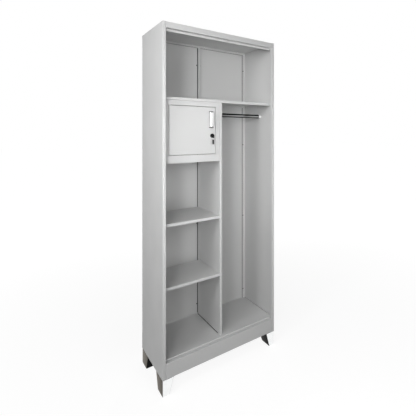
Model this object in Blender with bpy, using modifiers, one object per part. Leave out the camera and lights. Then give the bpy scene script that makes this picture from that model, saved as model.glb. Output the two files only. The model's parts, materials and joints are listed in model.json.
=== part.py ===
"""A tall steel wardrobe without outer doors, on four chrome legs.

The carcass is folded from 1 mm sheet: two sides with stiles, a top with its header and
door stop, a floor, a plinth, a rear base rail and a back in two dished halves that meet
under a hat-shaped strip. Inside are a full-width shelf, a divider, two half shelves, a
hanging rail and a lockable box whose door turns on two pins, with a cam lock and a key
that folds down.

Places are given from the body's lower front left corner: x to the right, y to the rear
and z up from the underside of the body. The function spot turns them into world places,
where the origin is on the floor under the middle of the wardrobe.
"""
import math

import bmesh
import bpy
from mathutils import Matrix, Vector

MM = 0.001

# Overall sizes
WIDTH = 700 * MM
DEPTH = 370 * MM
BODY_HEIGHT = 1850 * MM
LEG_HEIGHT = 85 * MM

# Sheet metal
SHEET = 1.0 * MM
BEND = 2.0 * MM
FIT = 0.3 * MM
SLIT_WIDTH = 0.6 * MM
SLIT_DEPTH = 3.0 * MM
CORNER = BEND + FIT + SLIT_WIDTH
OVERRUN = 2.0 * MM

# Sides
STILE_WIDTH = 17 * MM
STILE_RETURN = 20 * MM
REAR_FLANGE = 19 * MM

# Top
HEADER_HEIGHT = 31 * MM
STOP_SETBACK = 25 * MM
TOP_STOP = 12 * MM
TOP_REAR_FLANGE = 15 * MM
REAR_SLOT_WIDTH = 3 * MM
MIDDLE_SLOT_OFFSET = 41 * MM
OUTER_SLOT_OFFSET = 292 * MM
STOP_NOTCH_OFFSET = 30 * MM
STOP_NOTCH_WIDTH = 3 * MM

# Base
PLINTH_HEIGHT = 80 * MM
FLOOR_HEIGHT = 87 * MM
TOP_RETURN = 45 * MM
BASE_RETURN = 60 * MM
END_FLANGE = 20 * MM

# Back
BACK_DISH = 5 * MM
BACK_TOP_LAP = 12 * MM
BACK_BASE_LAP = 15 * MM
BACK_SIDE_LAP = 9 * MM
BACK_EDGE_GAP = 2 * MM
STANDING_SEAM = 9 * MM
STRIP_CROWN = 12 * MM
STRIP_DEPTH = 20 * MM
STRIP_FLANGE = 12 * MM

# Shelves and divider
INNER_FRONT = 45 * MM
TOP_SHELF_HEIGHT = 1467 * MM
TOP_SHELF_EDGE = 16 * MM
SHELF_EDGE = 16 * MM
SHELF_HEM = 12 * MM
SHELF_FLANGE = 12 * MM
UPPER_SHELF_HEIGHT = 789 * MM
LOWER_SHELF_HEIGHT = 450 * MM
LOWER_SHELF_GAP = 30 * MM
DIVIDER_WIDTH = 14 * MM
DIVIDER_RETURN = 15 * MM
DIVIDER_FLANGE = 12 * MM
DIVIDER_GAP = 8 * MM
STRIP_CLEARANCE = 1 * MM

# Locker box
LOCKER_HEIGHT = 357 * MM
LOCKER_FLOOR_RISE = 15 * MM
FRAME_RETURN = 18 * MM
FRAME_SIDE_FLANGE = 20 * MM
DOOR_LEFT = 49 * MM
DOOR_RIGHT_MARGIN = 29 * MM
DOOR_BASE_MARGIN = 44 * MM
DOOR_TOP_MARGIN = 45.5 * MM
DOOR_GAP = 2 * MM
DOOR_RETURN = 16 * MM
DOOR_LIP = 10 * MM

# Locker hinge pins
HINGE_INSET = 7 * MM
HINGE_SETBACK = 6 * MM
PIN_RADIUS = 2.5 * MM
PIN_HEAD_RADIUS = 4 * MM
PIN_HEAD = 1.5 * MM
PIN_REACH = 3 * MM

# Handle
HANDLE_INSET = 30 * MM
HANDLE_DROP = 71 * MM
HANDLE_PITCH = 88 * MM
HANDLE_WIDTH = 20 * MM
HANDLE_PROJECTION = 20 * MM
HANDLE_BAR = 6 * MM
HANDLE_FOOT = 9 * MM
HANDLE_CORNER = 9 * MM
HANDLE_EDGE = 1 * MM
HANDLE_SCREW_RADIUS = 2 * MM
HANDLE_SCREW_BITE = 7 * MM
HANDLE_SCREW_HEAD_RADIUS = 4 * MM
HANDLE_SCREW_HEAD = 2.2 * MM
HEAD_CROWN_SHARE = 0.7

# Lock
LOCK_INSET = 21 * MM
LOCK_DROP = 163.5 * MM
LOCK_RIM_RADIUS = 12 * MM
LOCK_RIM = 6 * MM
LOCK_RIM_CHAMFER = 1.5 * MM
LOCK_BARREL_RADIUS = 9 * MM
LOCK_BARREL_END = 18.5 * MM
PLUG_RADIUS = 6.5 * MM
PLUG_RECESS = 1 * MM
PLUG_STUB_RADIUS = 4 * MM
LOCK_NUT_RADIUS = 13 * MM
LOCK_NUT = 4 * MM
CAM_LENGTH = 36 * MM
CAM_WIDTH = 14 * MM
CAM_THICKNESS = 2.5 * MM
CAM_SCREW_RADIUS = 5.5 * MM
CAM_SCREW = 2.5 * MM

# Key
KEYWAY_DEPTH = 10 * MM
BLADE_THICKNESS = 2 * MM
BLADE_WIDTH = 6.4 * MM
PIVOT_PROUD = 16 * MM
EYE_RADIUS = 4 * MM
PIVOT_RADIUS = 1.3 * MM
PIVOT_HEAD_RADIUS = 2.1 * MM
PIVOT_HEAD = 0.6 * MM
LINK_CHEEK = 1.2 * MM
LINK_WIDTH = 6 * MM
LINK_BRIDGE = 4 * MM
BOW_DROP = 22 * MM
BOW_LENGTH = 28 * MM
BOW_WIDTH = 9 * MM
BOW_THICKNESS = 4.5 * MM
BOW_EDGE = 1.2 * MM

# Hanging rail
RAIL_RADIUS = 12.5 * MM
RAIL_WALL = 1.5 * MM
RAIL_SETBACK = 170 * MM
RAIL_DROP = 81 * MM
CUP_BASE_RADIUS = 20 * MM
CUP_BASE = 2 * MM
CUP_WALL = 2.5 * MM
CUP_LENGTH = 10 * MM
CUP_HOLE_RADIUS = 4 * MM

# Legs
LEG_SHEET = 2 * MM
LEG_BEND = 3 * MM
LEG_INSET = 1 * MM
LEG_SIDE_TOP = 110 * MM
LEG_SIDE_FOOT = 80 * MM
LEG_FRONT_TOP = 58 * MM
LEG_FRONT_FOOT = 36 * MM
LEG_SEAM = 1 * MM
LEG_TOP_GAP = 1 * MM
LEG_PLATE_WIDTH = 52 * MM
LEG_PLATE_LENGTH = 78 * MM
BOLT_X = 38 * MM
BOLT_SETBACKS = (20 * MM, 46 * MM)
BOLT_RADIUS = 3 * MM
BOLT_HEAD_RADIUS = 5.8 * MM
BOLT_HEAD = 4 * MM
BOLT_REACH = 8 * MM
NUT_HEIGHT = 5 * MM

# Places that follow from the sizes above
WALL_DEPTH = DEPTH - SHEET - BACK_DISH - FIT
SIDE_HEIGHT = BODY_HEIGHT - SHEET - FIT
INNER_LEFT = SHEET + FIT
INNER_RIGHT = WIDTH - SHEET - FIT
PLINTH_LEFT = STILE_WIDTH + FIT
SHELF_BACK = WALL_DEPTH - BEND - FIT
STRIP_FRONT = DEPTH - SHEET - FIT - STRIP_DEPTH
DIVIDER_LEFT = WIDTH / 2 - DIVIDER_WIDTH / 2
BAY_RIGHT = DIVIDER_LEFT - FIT
RAIL_HEIGHT = TOP_SHELF_HEIGHT - RAIL_DROP
LOCKER_BASE = TOP_SHELF_HEIGHT - LOCKER_HEIGHT
LOCKER_FRAME_TOP = TOP_SHELF_HEIGHT - TOP_SHELF_EDGE - FIT
DOOR_BOTTOM = LOCKER_BASE + DOOR_BASE_MARGIN
DOOR_TOP = TOP_SHELF_HEIGHT - DOOR_TOP_MARGIN
DOOR_HEIGHT = DOOR_TOP - DOOR_BOTTOM
DOOR_RIGHT = DIVIDER_LEFT - DOOR_RIGHT_MARGIN
DOOR_WIDTH = DOOR_RIGHT - DOOR_LEFT
HANDLE_X = DOOR_RIGHT - HANDLE_INSET
HANDLE_MIDDLE = DOOR_TOP - HANDLE_DROP
LOCK_X = DOOR_RIGHT - LOCK_INSET
LOCK_Z = DOOR_TOP - LOCK_DROP
REAR_FLANGE_BASE = FLOOR_HEIGHT + SHEET
REAR_FLANGE_TOP = BODY_HEIGHT - TOP_REAR_FLANGE - SHEET
HINGE_X = DOOR_LEFT + HINGE_INSET
HINGE_Y = INNER_FRONT + HINGE_SETBACK

RIGHT, REAR, UP = Vector((1, 0, 0)), Vector((0, 1, 0)), Vector((0, 0, 1))

wardrobe = None
cutters = None
paint = steel = chrome = black = None


def spot(x, y, z):
    """The world place of a point given from the body's lower front left corner."""
    return Vector((x - WIDTH / 2, y - DEPTH / 2, z + LEG_HEIGHT))


def clear_scene():
    for item in list(bpy.data.objects):
        bpy.data.objects.remove(item, do_unlink=True)
    for group in list(bpy.data.collections):
        bpy.data.collections.remove(group)


def make_collections():
    global wardrobe, cutters
    wardrobe = bpy.data.collections.new("wardrobe")
    cutters = bpy.data.collections.new("wardrobe_cutters")
    bpy.context.scene.collection.children.link(wardrobe)
    bpy.context.scene.collection.children.link(cutters)


def make_material(name, colour, roughness, metallic):
    """A Principled material; each sub-part gets a copy of its own."""
    material = bpy.data.materials.new(name)
    material.use_nodes = True
    shader = material.node_tree.nodes["Principled BSDF"]
    shader.inputs["Base Color"].default_value = (*colour, 1)
    shader.inputs["Roughness"].default_value = roughness
    shader.inputs["Metallic"].default_value = metallic
    material.diffuse_color = (*colour, 1)
    return material


def make_materials():
    global paint, steel, chrome, black
    paint = make_material("light_grey_paint", (0.60, 0.60, 0.60), 0.45, 0.0)
    steel = make_material("plain_steel", (0.50, 0.50, 0.50), 0.35, 1.0)
    chrome = make_material("polished_chrome", (0.80, 0.80, 0.82), 0.08, 1.0)
    black = make_material("black_plastic", (0.02, 0.02, 0.02), 0.40, 0.0)


def add_object(name, data, finish, place=None, parent=None, collection=None):
    """Links a piece, gives it a material of its own and hangs it on its parent."""
    item = bpy.data.objects.new(name, data)
    (collection or wardrobe).objects.link(item)
    if finish is not None:
        own = finish.copy()
        own.name = name + "_finish"
        item.data.materials.append(own)
    item.location = place or Vector((0, 0, 0))
    if parent is not None:
        item.location = item.location - parent_place(parent)
        item.parent = parent
    return item


def parent_place(parent):
    """Where a parent empty stands in the world; the empties are never turned."""
    place = parent.location.copy()
    while parent.parent is not None:
        parent = parent.parent
        place += parent.location
    return place


def add_empty(name, place, parent=None):
    item = bpy.data.objects.new(name, None)
    wardrobe.objects.link(item)
    item.location = place - (parent_place(parent) if parent else Vector((0, 0, 0)))
    item.parent = parent
    return item


def plate(width, height):
    """One flat face over 0 to width and 0 to height, in its own u and v."""
    bm = bmesh.new()
    bmesh.ops.create_grid(bm, x_segments=1, y_segments=1, size=0.5)
    bmesh.ops.translate(bm, verts=bm.verts, vec=(0.5, 0.5, 0))
    bmesh.ops.scale(bm, verts=bm.verts, vec=(width, height, 1))
    return bm


def score(bm, axis, at):
    """Splits the plate along a line of constant u (axis 0) or v (axis 1)."""
    point, normal = Vector((0, 0, 0)), Vector((0, 0, 0))
    point[axis], normal[axis] = at, 1
    everything = bm.verts[:] + bm.edges[:] + bm.faces[:]
    bmesh.ops.bisect_plane(bm, geom=everything, dist=SHEET / 1000, plane_co=point, plane_no=normal)


def punch(bm, u_range, v_range):
    """Takes a rectangle out of the flat plate."""
    for axis, span in enumerate((u_range, v_range)):
        for at in span:
            score(bm, axis, at)
    inside = []
    for face in bm.faces:
        centre = face.calc_center_median()
        if u_range[0] < centre.x < u_range[1] and v_range[0] < centre.y < v_range[1]:
            inside.append(face)
    bmesh.ops.delete(bm, geom=inside, context="FACES")


def edge_of(bm, axis, at, low, high):
    """The open edges that lie on a line of the plate between two places."""
    near = SHEET / 100
    chosen = []
    for edge in bm.edges:
        if not edge.is_boundary:
            continue
        ends = [vert.co for vert in edge.verts]
        on_line = all(abs(end[axis] - at) < near and abs(end.z) < near for end in ends)
        along = [end[1 - axis] for end in ends]
        if on_line and min(along) > low - near and max(along) < high + near:
            chosen.append(edge)
    return chosen


def fold(bm, lines, *steps):
    """Turns the chosen edges of the plate through each step in turn.

    Each line is (axis, at, low, high) as for edge_of; each step is a vector in u, v and w,
    where w points out of the sheet's outer face.
    """
    edges = [edge for line in lines for edge in edge_of(bm, *line)]
    for step in steps:
        grown = bmesh.ops.extrude_edge_only(bm, edges=edges)["geom"]
        verts = [item for item in grown if isinstance(item, bmesh.types.BMVert)]
        bmesh.ops.translate(bm, verts=verts, vec=step)
        fresh = set(verts)
        edges = [item for item in grown if isinstance(item, bmesh.types.BMEdge)
                 and all(vert in fresh for vert in item.verts)]


def slit_u(bm, at, v_edge, inward, side):
    """A relief slit beside a fold of the edge at constant v; side is -1 before it, +1 after."""
    far = v_edge + inward * SLIT_DEPTH
    punch(bm, sorted((at, at + side * SLIT_WIDTH)), sorted((v_edge, far)))


def slit_v(bm, at, u_edge, inward, side):
    """A relief slit beside a fold of the edge at constant u."""
    far = u_edge + inward * SLIT_DEPTH
    punch(bm, sorted((u_edge, far)), sorted((at, at + side * SLIT_WIDTH)))


def sheet_piece(name, bm, origin, u_axis, v_axis, outward, finish=None, thickness=SHEET,
                bend=BEND, parent=None):
    """Places a folded surface, rounds its bends and gives it the sheet's thickness inwards."""
    turn = Matrix((u_axis, v_axis, outward)).transposed().to_4x4()
    bmesh.ops.transform(bm, matrix=turn, verts=bm.verts)
    bmesh.ops.recalc_face_normals(bm, faces=bm.faces)
    unfolded = [face for face in bm.faces
                if abs(face.calc_center_median().dot(outward)) < SHEET / 1000]
    largest = max(unfolded, key=lambda face: face.calc_area())
    if largest.normal.dot(outward) < 0:
        bmesh.ops.reverse_faces(bm, faces=bm.faces)
    weights = bm.edges.layers.float.new("bevel_weight_edge")
    for edge in bm.edges:
        if len(edge.link_faces) == 2 and edge.calc_face_angle() > math.radians(30):
            edge[weights] = 1
    mesh = bpy.data.meshes.new(name)
    bm.to_mesh(mesh)
    bm.free()
    item = add_object(name, mesh, finish or paint, origin, parent)
    rounding = item.modifiers.new("bends", "BEVEL")
    rounding.limit_method = "WEIGHT"
    rounding.width = bend
    rounding.segments = 2
    rounding.use_clamp_overlap = False
    wall = item.modifiers.new("sheet", "SOLIDIFY")
    wall.thickness = thickness
    wall.offset = -1
    wall.use_even_offset = True
    return item


def mesh_from(bm, name):
    mesh = bpy.data.meshes.new(name)
    bm.to_mesh(mesh)
    bm.free()
    return mesh


def add_cylinder(bm, centre, axis, radius, length, sides=16):
    """Adds a closed cylinder that is centred on a point, with its length along an axis."""
    turn = Vector((0, 0, 1)).rotation_difference(axis).to_matrix().to_4x4()
    bmesh.ops.create_cone(bm, cap_ends=True, segments=sides, radius1=radius, radius2=radius,
                          depth=length, matrix=Matrix.Translation(centre) @ turn)


def add_box(bm, low, high):
    """Adds a closed box between two corners."""
    low, high = Vector(low), Vector(high)
    size = Matrix.Diagonal((*(high - low), 1))
    bmesh.ops.create_cube(bm, size=1, matrix=Matrix.Translation((low + high) / 2) @ size)


def cutter(name, bm):
    item = add_object(name, mesh_from(bm, name), None, collection=cutters)
    item.hide_render = True
    item.display_type = "WIRE"
    return item


def cut(item, tool):
    hole = item.modifiers.new("cut_" + tool.name, "BOOLEAN")
    hole.operation = "DIFFERENCE"
    hole.solver = "EXACT"
    hole.object = tool


def turned(name, outline, steps, finish, place, axis, parent=None):
    """A turned ring from a closed outline of (radius, along) points that climbs its outer side.

    Screw wants a profile that runs down its outer side, so the outline is taken backwards.
    Six steps make a hexagon, whose corners lie on the radius.
    """
    bm = bmesh.new()
    verts = [bm.verts.new((radius, 0, along)) for radius, along in reversed(outline)]
    for first, second in zip(verts, verts[1:] + verts[:1]):
        bm.edges.new((first, second))
    item = add_object(name, mesh_from(bm, name), finish, place, parent)
    item.rotation_mode = "QUATERNION"
    item.rotation_quaternion = Vector((0, 0, 1)).rotation_difference(axis)
    screw = item.modifiers.new("turn", "SCREW")
    screw.steps = steps
    screw.render_steps = steps
    screw.use_merge_vertices = True
    screw.merge_threshold = SHEET / 100
    return item


def pin_mesh(name, outline, sides, axis):
    """A solid turned pin; its outline of (radius, along) points starts and ends on the axis."""
    bm = bmesh.new()
    turn = Vector((0, 0, 1)).rotation_difference(axis).to_matrix()
    verts = [bm.verts.new(turn @ Vector((radius, 0, along))) for radius, along in outline]
    edges = [bm.edges.new(pair) for pair in zip(verts, verts[1:])]
    bmesh.ops.spin(bm, geom=verts + edges, cent=(0, 0, 0), axis=axis, dvec=(0, 0, 0),
                   angle=math.tau, steps=sides, use_merge=True)
    bmesh.ops.remove_doubles(bm, verts=bm.verts, dist=SHEET / 100)
    bmesh.ops.recalc_face_normals(bm, faces=bm.faces)
    return mesh_from(bm, name)


def pin(name, outline, sides, place, axis, finish, parent=None):
    return add_object(name, pin_mesh(name, outline, sides, axis), finish, place, parent)


def flat_outline(name, splines, thickness, turn):
    """A mesh from a filled 2D curve, extruded to both sides of its plane."""
    curve = bpy.data.curves.new(name + "_outline", "CURVE")
    curve.dimensions = "2D"
    curve.fill_mode = "BOTH"
    curve.extrude = thickness / 2
    for points in splines:
        line = curve.splines.new("POLY")
        line.points.add(len(points) - 1)
        for point, (across, along) in zip(line.points, points):
            point.co = (across, along, 0, 1)
        line.use_cyclic_u = True
    helper = bpy.data.objects.new(name + "_helper", curve)
    wardrobe.objects.link(helper)
    bpy.context.view_layer.update()
    evaluated = helper.evaluated_get(bpy.context.evaluated_depsgraph_get())
    mesh = bpy.data.meshes.new_from_object(evaluated)
    bpy.data.objects.remove(helper)
    bm = bmesh.new()
    bm.from_mesh(mesh)
    bmesh.ops.remove_doubles(bm, verts=bm.verts, dist=SHEET / 100)
    bmesh.ops.transform(bm, matrix=turn, verts=bm.verts)
    bmesh.ops.recalc_face_normals(bm, faces=bm.faces)
    return mesh_from(bm, name)


def arc(centre, radius, start, stop, steps):
    """Points on an arc, with its angles in degrees."""
    angles = [math.radians(start + (stop - start) * step / steps) for step in range(steps + 1)]
    return [(centre[0] + radius * math.cos(a), centre[1] + radius * math.sin(a)) for a in angles]


def make_side(name, right):
    """A side wall with its stile and stile return, and its rear flange."""
    bm = plate(WALL_DEPTH, SIDE_HEIGHT)
    slit_v(bm, REAR_FLANGE_BASE, WALL_DEPTH, -1, -1)
    slit_v(bm, REAR_FLANGE_TOP, WALL_DEPTH, -1, 1)
    fold(bm, [(0, 0, 0, SIDE_HEIGHT)], (0, 0, -STILE_WIDTH), (STILE_RETURN, 0, 0))
    fold(bm, [(0, WALL_DEPTH, REAR_FLANGE_BASE, REAR_FLANGE_TOP)], (0, 0, -REAR_FLANGE))
    origin = spot(WIDTH if right else 0, 0, 0)
    return sheet_piece(name, bm, origin, REAR, UP, RIGHT if right else -RIGHT)


def make_top():
    """The top with its header, the door stop behind it, and a rear flange with relief slots."""
    bm = plate(WIDTH, WALL_DEPTH)
    slit_u(bm, PLINTH_LEFT, 0, 1, -1)
    slit_u(bm, WIDTH - PLINTH_LEFT, 0, 1, 1)
    low, high = INNER_LEFT + SLIT_WIDTH, INNER_RIGHT - SLIT_WIDTH
    slit_u(bm, low, WALL_DEPTH, -1, -1)
    slit_u(bm, high, WALL_DEPTH, -1, 1)
    offsets = (-OUTER_SLOT_OFFSET, -MIDDLE_SLOT_OFFSET, MIDDLE_SLOT_OFFSET, OUTER_SLOT_OFFSET)
    slots = [WIDTH / 2 + offset for offset in offsets]
    for middle in slots:
        span = (middle - REAR_SLOT_WIDTH / 2, middle + REAR_SLOT_WIDTH / 2)
        punch(bm, span, (WALL_DEPTH - SLIT_DEPTH, WALL_DEPTH))
    starts = [low] + [middle + REAR_SLOT_WIDTH / 2 for middle in slots]
    stops = [middle - REAR_SLOT_WIDTH / 2 for middle in slots] + [high]
    for start, stop in zip(starts, stops):
        fold(bm, [(1, WALL_DEPTH, start, stop)], (0, 0, -TOP_REAR_FLANGE))
    fold(bm, [(1, 0, PLINTH_LEFT, WIDTH - PLINTH_LEFT)],
         (0, 0, -HEADER_HEIGHT), (0, STOP_SETBACK, 0), (0, 0, -TOP_STOP))
    item = sheet_piece("top_panel", bm, spot(0, 0, BODY_HEIGHT), RIGHT, REAR, UP)
    stop_base = BODY_HEIGHT - HEADER_HEIGHT - TOP_STOP
    cut(item, notch_cutter("top_stop_notches", stop_base - OVERRUN, stop_base + TOP_STOP - BEND))
    return item


def notch_cutter(name, low, high):
    """Two narrow notches through a door stop, one on each side of the middle."""
    bm = bmesh.new()
    for side in (-1, 1):
        middle = WIDTH / 2 + side * STOP_NOTCH_OFFSET
        half = STOP_NOTCH_WIDTH / 2
        add_box(bm, spot(middle - half, STOP_SETBACK - OVERRUN, low),
                spot(middle + half, STOP_SETBACK + OVERRUN, high))
    return cutter(name, bm)


def make_floor():
    """The floor tray; its front flange is the lower door stop."""
    width = INNER_RIGHT - INNER_LEFT
    depth = WALL_DEPTH - STOP_SETBACK
    drop = FLOOR_HEIGHT - PLINTH_HEIGHT - FIT
    bm = plate(width, depth)
    fore, aft = CORNER, depth - CORNER
    for u_edge, inward in ((0, 1), (width, -1)):
        slit_v(bm, fore, u_edge, inward, -1)
        slit_v(bm, aft, u_edge, inward, 1)
        fold(bm, [(0, u_edge, fore, aft)], (0, 0, -drop))
    for v_edge in (0, depth):
        fold(bm, [(1, v_edge, 0, width)], (0, 0, -drop))
    origin = spot(INNER_LEFT, STOP_SETBACK, FLOOR_HEIGHT)
    item = sheet_piece("floor_panel", bm, origin, RIGHT, REAR, UP)
    cut(item, notch_cutter("floor_stop_notches", FLOOR_HEIGHT - drop - OVERRUN,
                           FLOOR_HEIGHT - BEND))
    return item


def make_base_rail(name, front):
    """A channel under the floor: the plinth in front, or the rail at the rear."""
    left = PLINTH_LEFT if front else INNER_LEFT
    width = WIDTH - 2 * left
    return_start = 0 if front else STILE_WIDTH - INNER_LEFT
    bm = plate(width, PLINTH_HEIGHT)
    low = SHEET + CORNER
    high = PLINTH_HEIGHT - SHEET - CORNER
    for u_edge, inward in ((0, 1), (width, -1)):
        slit_v(bm, low, u_edge, inward, -1)
        slit_v(bm, high, u_edge, inward, 1)
    if not front:
        slit_u(bm, return_start, 0, 1, -1)
        slit_u(bm, width - return_start, 0, 1, 1)
    for u_edge in (0, width):
        fold(bm, [(0, u_edge, low, high)], (0, 0, -END_FLANGE))
    fold(bm, [(1, PLINTH_HEIGHT, 0, width)], (0, 0, -TOP_RETURN))
    fold(bm, [(1, 0, return_start, width - return_start)], (0, 0, -BASE_RETURN))
    origin = spot(left, 0 if front else WALL_DEPTH, 0)
    return sheet_piece(name, bm, origin, RIGHT, UP, -REAR if front else REAR)


def make_back(name, right):
    """Half of the back: a dished field with lapped edges and a standing seam at the middle."""
    start = BACK_EDGE_GAP + BACK_SIDE_LAP
    width = WIDTH / 2 - FIT / 2 - start
    base = REAR_FLANGE_BASE
    height = REAR_FLANGE_TOP - base
    bm = plate(width, height)
    low, high = CORNER, width - CORNER
    for v_edge, inward in ((0, 1), (height, -1)):
        slit_u(bm, low, v_edge, inward, -1)
        slit_u(bm, high, v_edge, inward, 1)
    fold(bm, [(0, 0, 0, height)], (0, 0, -BACK_DISH), (-BACK_SIDE_LAP, 0, 0))
    fold(bm, [(0, width, 0, height)], (0, 0, -STANDING_SEAM))
    fold(bm, [(1, height, low, high)], (0, 0, -BACK_DISH), (0, BACK_TOP_LAP, 0))
    fold(bm, [(1, 0, low, high)], (0, 0, -BACK_DISH), (0, -BACK_BASE_LAP, 0))
    origin = spot(WIDTH - start if right else start, DEPTH, base)
    return sheet_piece(name, bm, origin, -RIGHT if right else RIGHT, UP, REAR)


def make_joint_strip():
    """The hat-shaped strip that covers the standing seam between the halves of the back."""
    base = REAR_FLANGE_BASE + BEND + FIT
    height = REAR_FLANGE_TOP - BEND - FIT - base
    bm = plate(STRIP_CROWN, height)
    drop = STRIP_DEPTH - SHEET
    fold(bm, [(0, 0, 0, height)], (0, 0, -drop), (-STRIP_FLANGE, 0, 0))
    fold(bm, [(0, STRIP_CROWN, 0, height)], (0, 0, -drop), (STRIP_FLANGE, 0, 0))
    origin = spot(WIDTH / 2 - STRIP_CROWN / 2, STRIP_FRONT, base)
    return sheet_piece("back_joint_strip", bm, origin, RIGHT, UP, -REAR)


def make_shelf(name, right_end, top, edge, rear_gap=0, around_strip=False):
    """A shelf with a hemmed front edge and a flange on each other side."""
    width = right_end - INNER_LEFT
    depth = SHELF_BACK - rear_gap - INNER_FRONT
    bm = plate(width, depth)
    rear_breaks = []
    if around_strip:
        middle = WIDTH / 2 - INNER_LEFT
        half = STRIP_CROWN / 2 + STRIP_CLEARANCE
        rear_breaks = [middle - half, middle + half]
        punch(bm, rear_breaks, (STRIP_FRONT - STRIP_CLEARANCE - INNER_FRONT, depth))
    fore, aft = CORNER, depth - CORNER
    for u_edge, inward in ((0, 1), (width, -1)):
        slit_v(bm, fore, u_edge, inward, -1)
        slit_v(bm, aft, u_edge, inward, 1)
        fold(bm, [(0, u_edge, fore, aft)], (0, 0, -SHELF_FLANGE))
    places = [0] + rear_breaks + [width]
    for start, stop in zip(places[0::2], places[1::2]):
        fold(bm, [(1, depth, start, stop)], (0, 0, -SHELF_FLANGE))
    fold(bm, [(1, 0, 0, width)], (0, 0, -edge), (0, SHELF_HEM, 0))
    return sheet_piece(name, bm, spot(INNER_LEFT, INNER_FRONT, top), RIGHT, REAR, UP)


def make_divider():
    """The upright between the bays, with a boxed front edge and flanges for its neighbours."""
    base = FLOOR_HEIGHT + FIT
    height = TOP_SHELF_HEIGHT - SHEET - FIT - base
    depth = STRIP_FRONT - DIVIDER_GAP - INNER_FRONT
    front_height = LOCKER_FRAME_TOP - base
    hem_notch = SHELF_HEM + STRIP_CLEARANCE
    bm = plate(depth, height)
    punch(bm, (0, hem_notch), (front_height, height))
    fore, aft = DIVIDER_RETURN + CORNER, depth - CORNER
    slit_u(bm, fore, 0, 1, -1)
    slit_u(bm, fore, height, -1, -1)
    for v_edge, inward in ((0, 1), (height, -1)):
        slit_u(bm, aft, v_edge, inward, 1)
        fold(bm, [(1, v_edge, fore, aft)], (0, 0, -DIVIDER_FLANGE))
    fold(bm, [(0, depth, 0, height)], (0, 0, -DIVIDER_FLANGE))
    fold(bm, [(0, 0, 0, front_height)], (0, 0, -DIVIDER_WIDTH), (DIVIDER_RETURN, 0, 0))
    origin = spot(DIVIDER_LEFT, INNER_FRONT, base)
    return sheet_piece("divider", bm, origin, REAR, UP, -RIGHT)


def make_locker_floor():
    width = BAY_RIGHT - INNER_LEFT
    front = INNER_FRONT + SHEET + FIT
    depth = SHELF_BACK - front
    bm = plate(width, depth)
    fore, aft = CORNER, depth - CORNER
    for u_edge, inward in ((0, 1), (width, -1)):
        slit_v(bm, fore, u_edge, inward, -1)
        slit_v(bm, aft, u_edge, inward, 1)
        fold(bm, [(0, u_edge, fore, aft)], (0, 0, -LOCKER_FLOOR_RISE))
    for v_edge in (0, depth):
        fold(bm, [(1, v_edge, 0, width)], (0, 0, -LOCKER_FLOOR_RISE))
    origin = spot(INNER_LEFT, front, LOCKER_BASE + LOCKER_FLOOR_RISE)
    return sheet_piece("locker_floor", bm, origin, RIGHT, REAR, UP)


def make_locker_frame():
    """The front of the locker box, with a returned opening for the inset door."""
    width = BAY_RIGHT - INNER_LEFT
    height = LOCKER_FRAME_TOP - LOCKER_BASE
    left = DOOR_LEFT - DOOR_GAP - INNER_LEFT
    right = DOOR_RIGHT + DOOR_GAP - INNER_LEFT
    base = DOOR_BOTTOM - DOOR_GAP - LOCKER_BASE
    top = DOOR_TOP + DOOR_GAP - LOCKER_BASE
    bm = plate(width, height)
    punch(bm, (left, right), (base, top))
    low = LOCKER_FLOOR_RISE + FIT + SLIT_WIDTH
    high = height - CORNER
    for u_edge, inward in ((0, 1), (width, -1)):
        slit_v(bm, low, u_edge, inward, -1)
        slit_v(bm, high, u_edge, inward, 1)
        fold(bm, [(0, u_edge, low, high)], (0, 0, -FRAME_SIDE_FLANGE))
    fold(bm, [(1, height, 0, width)], (0, 0, -SHELF_HEM))
    fold(bm, [(0, left, base, top), (0, right, base, top), (1, base, left, right),
              (1, top, left, right)], (0, 0, -FRAME_RETURN))
    origin = spot(INNER_LEFT, INNER_FRONT, LOCKER_BASE)
    return sheet_piece("locker_frame", bm, origin, RIGHT, UP, -REAR)


def make_door(axis_empty):
    """The locker door: a pan with returns on all sides and lips along its upright edges."""
    bm = plate(DOOR_WIDTH, DOOR_HEIGHT)
    end_return = DOOR_RETURN - SHEET - FIT
    low, high = CORNER, DOOR_WIDTH - CORNER
    for v_edge, inward in ((0, 1), (DOOR_HEIGHT, -1)):
        slit_u(bm, low, v_edge, inward, -1)
        slit_u(bm, high, v_edge, inward, 1)
        fold(bm, [(1, v_edge, low, high)], (0, 0, -end_return))
    fold(bm, [(0, 0, 0, DOOR_HEIGHT)], (0, 0, -DOOR_RETURN), (DOOR_LIP, 0, 0))
    fold(bm, [(0, DOOR_WIDTH, 0, DOOR_HEIGHT)], (0, 0, -DOOR_RETURN), (-DOOR_LIP, 0, 0))
    origin = spot(DOOR_LEFT, INNER_FRONT, DOOR_BOTTOM)
    return sheet_piece("locker_door", bm, origin, RIGHT, UP, -REAR, parent=axis_empty)


def make_hinge_pins(axis_empty):
    """Two shouldered pins, riveted in the door's end returns and turning in the frame."""
    low, high = PIN_RADIUS, PIN_HEAD_RADIUS
    outline = [(0, 0), (high, 0), (high, PIN_HEAD), (low, PIN_HEAD)]
    door_side = PIN_HEAD + SHEET + 2 * FIT
    shoulder = door_side + DOOR_GAP - 2 * FIT
    outline += [(low, door_side), (high, door_side), (high, shoulder), (low, shoulder)]
    tip = shoulder + FIT + SHEET + PIN_REACH
    outline += [(low, tip), (0, tip)]
    start = PIN_HEAD + SHEET + FIT
    places = {"hinge_pin_lower": (DOOR_BOTTOM + start, -UP),
              "hinge_pin_upper": (DOOR_TOP - start, UP)}
    for name, (z, axis) in places.items():
        pin(name, outline, 16, spot(HINGE_X, HINGE_Y, z), axis, steel, axis_empty)


def hinge_bores(name):
    """Round bores for both hinge pins, through the ends of the door and of the frame."""
    bm = bmesh.new()
    reach = DOOR_GAP + SHEET + OVERRUN
    for z in (DOOR_BOTTOM, DOOR_TOP):
        add_cylinder(bm, spot(HINGE_X, HINGE_Y, z), UP, PIN_RADIUS + FIT, 2 * reach)
    return cutter(name, bm)


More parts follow.
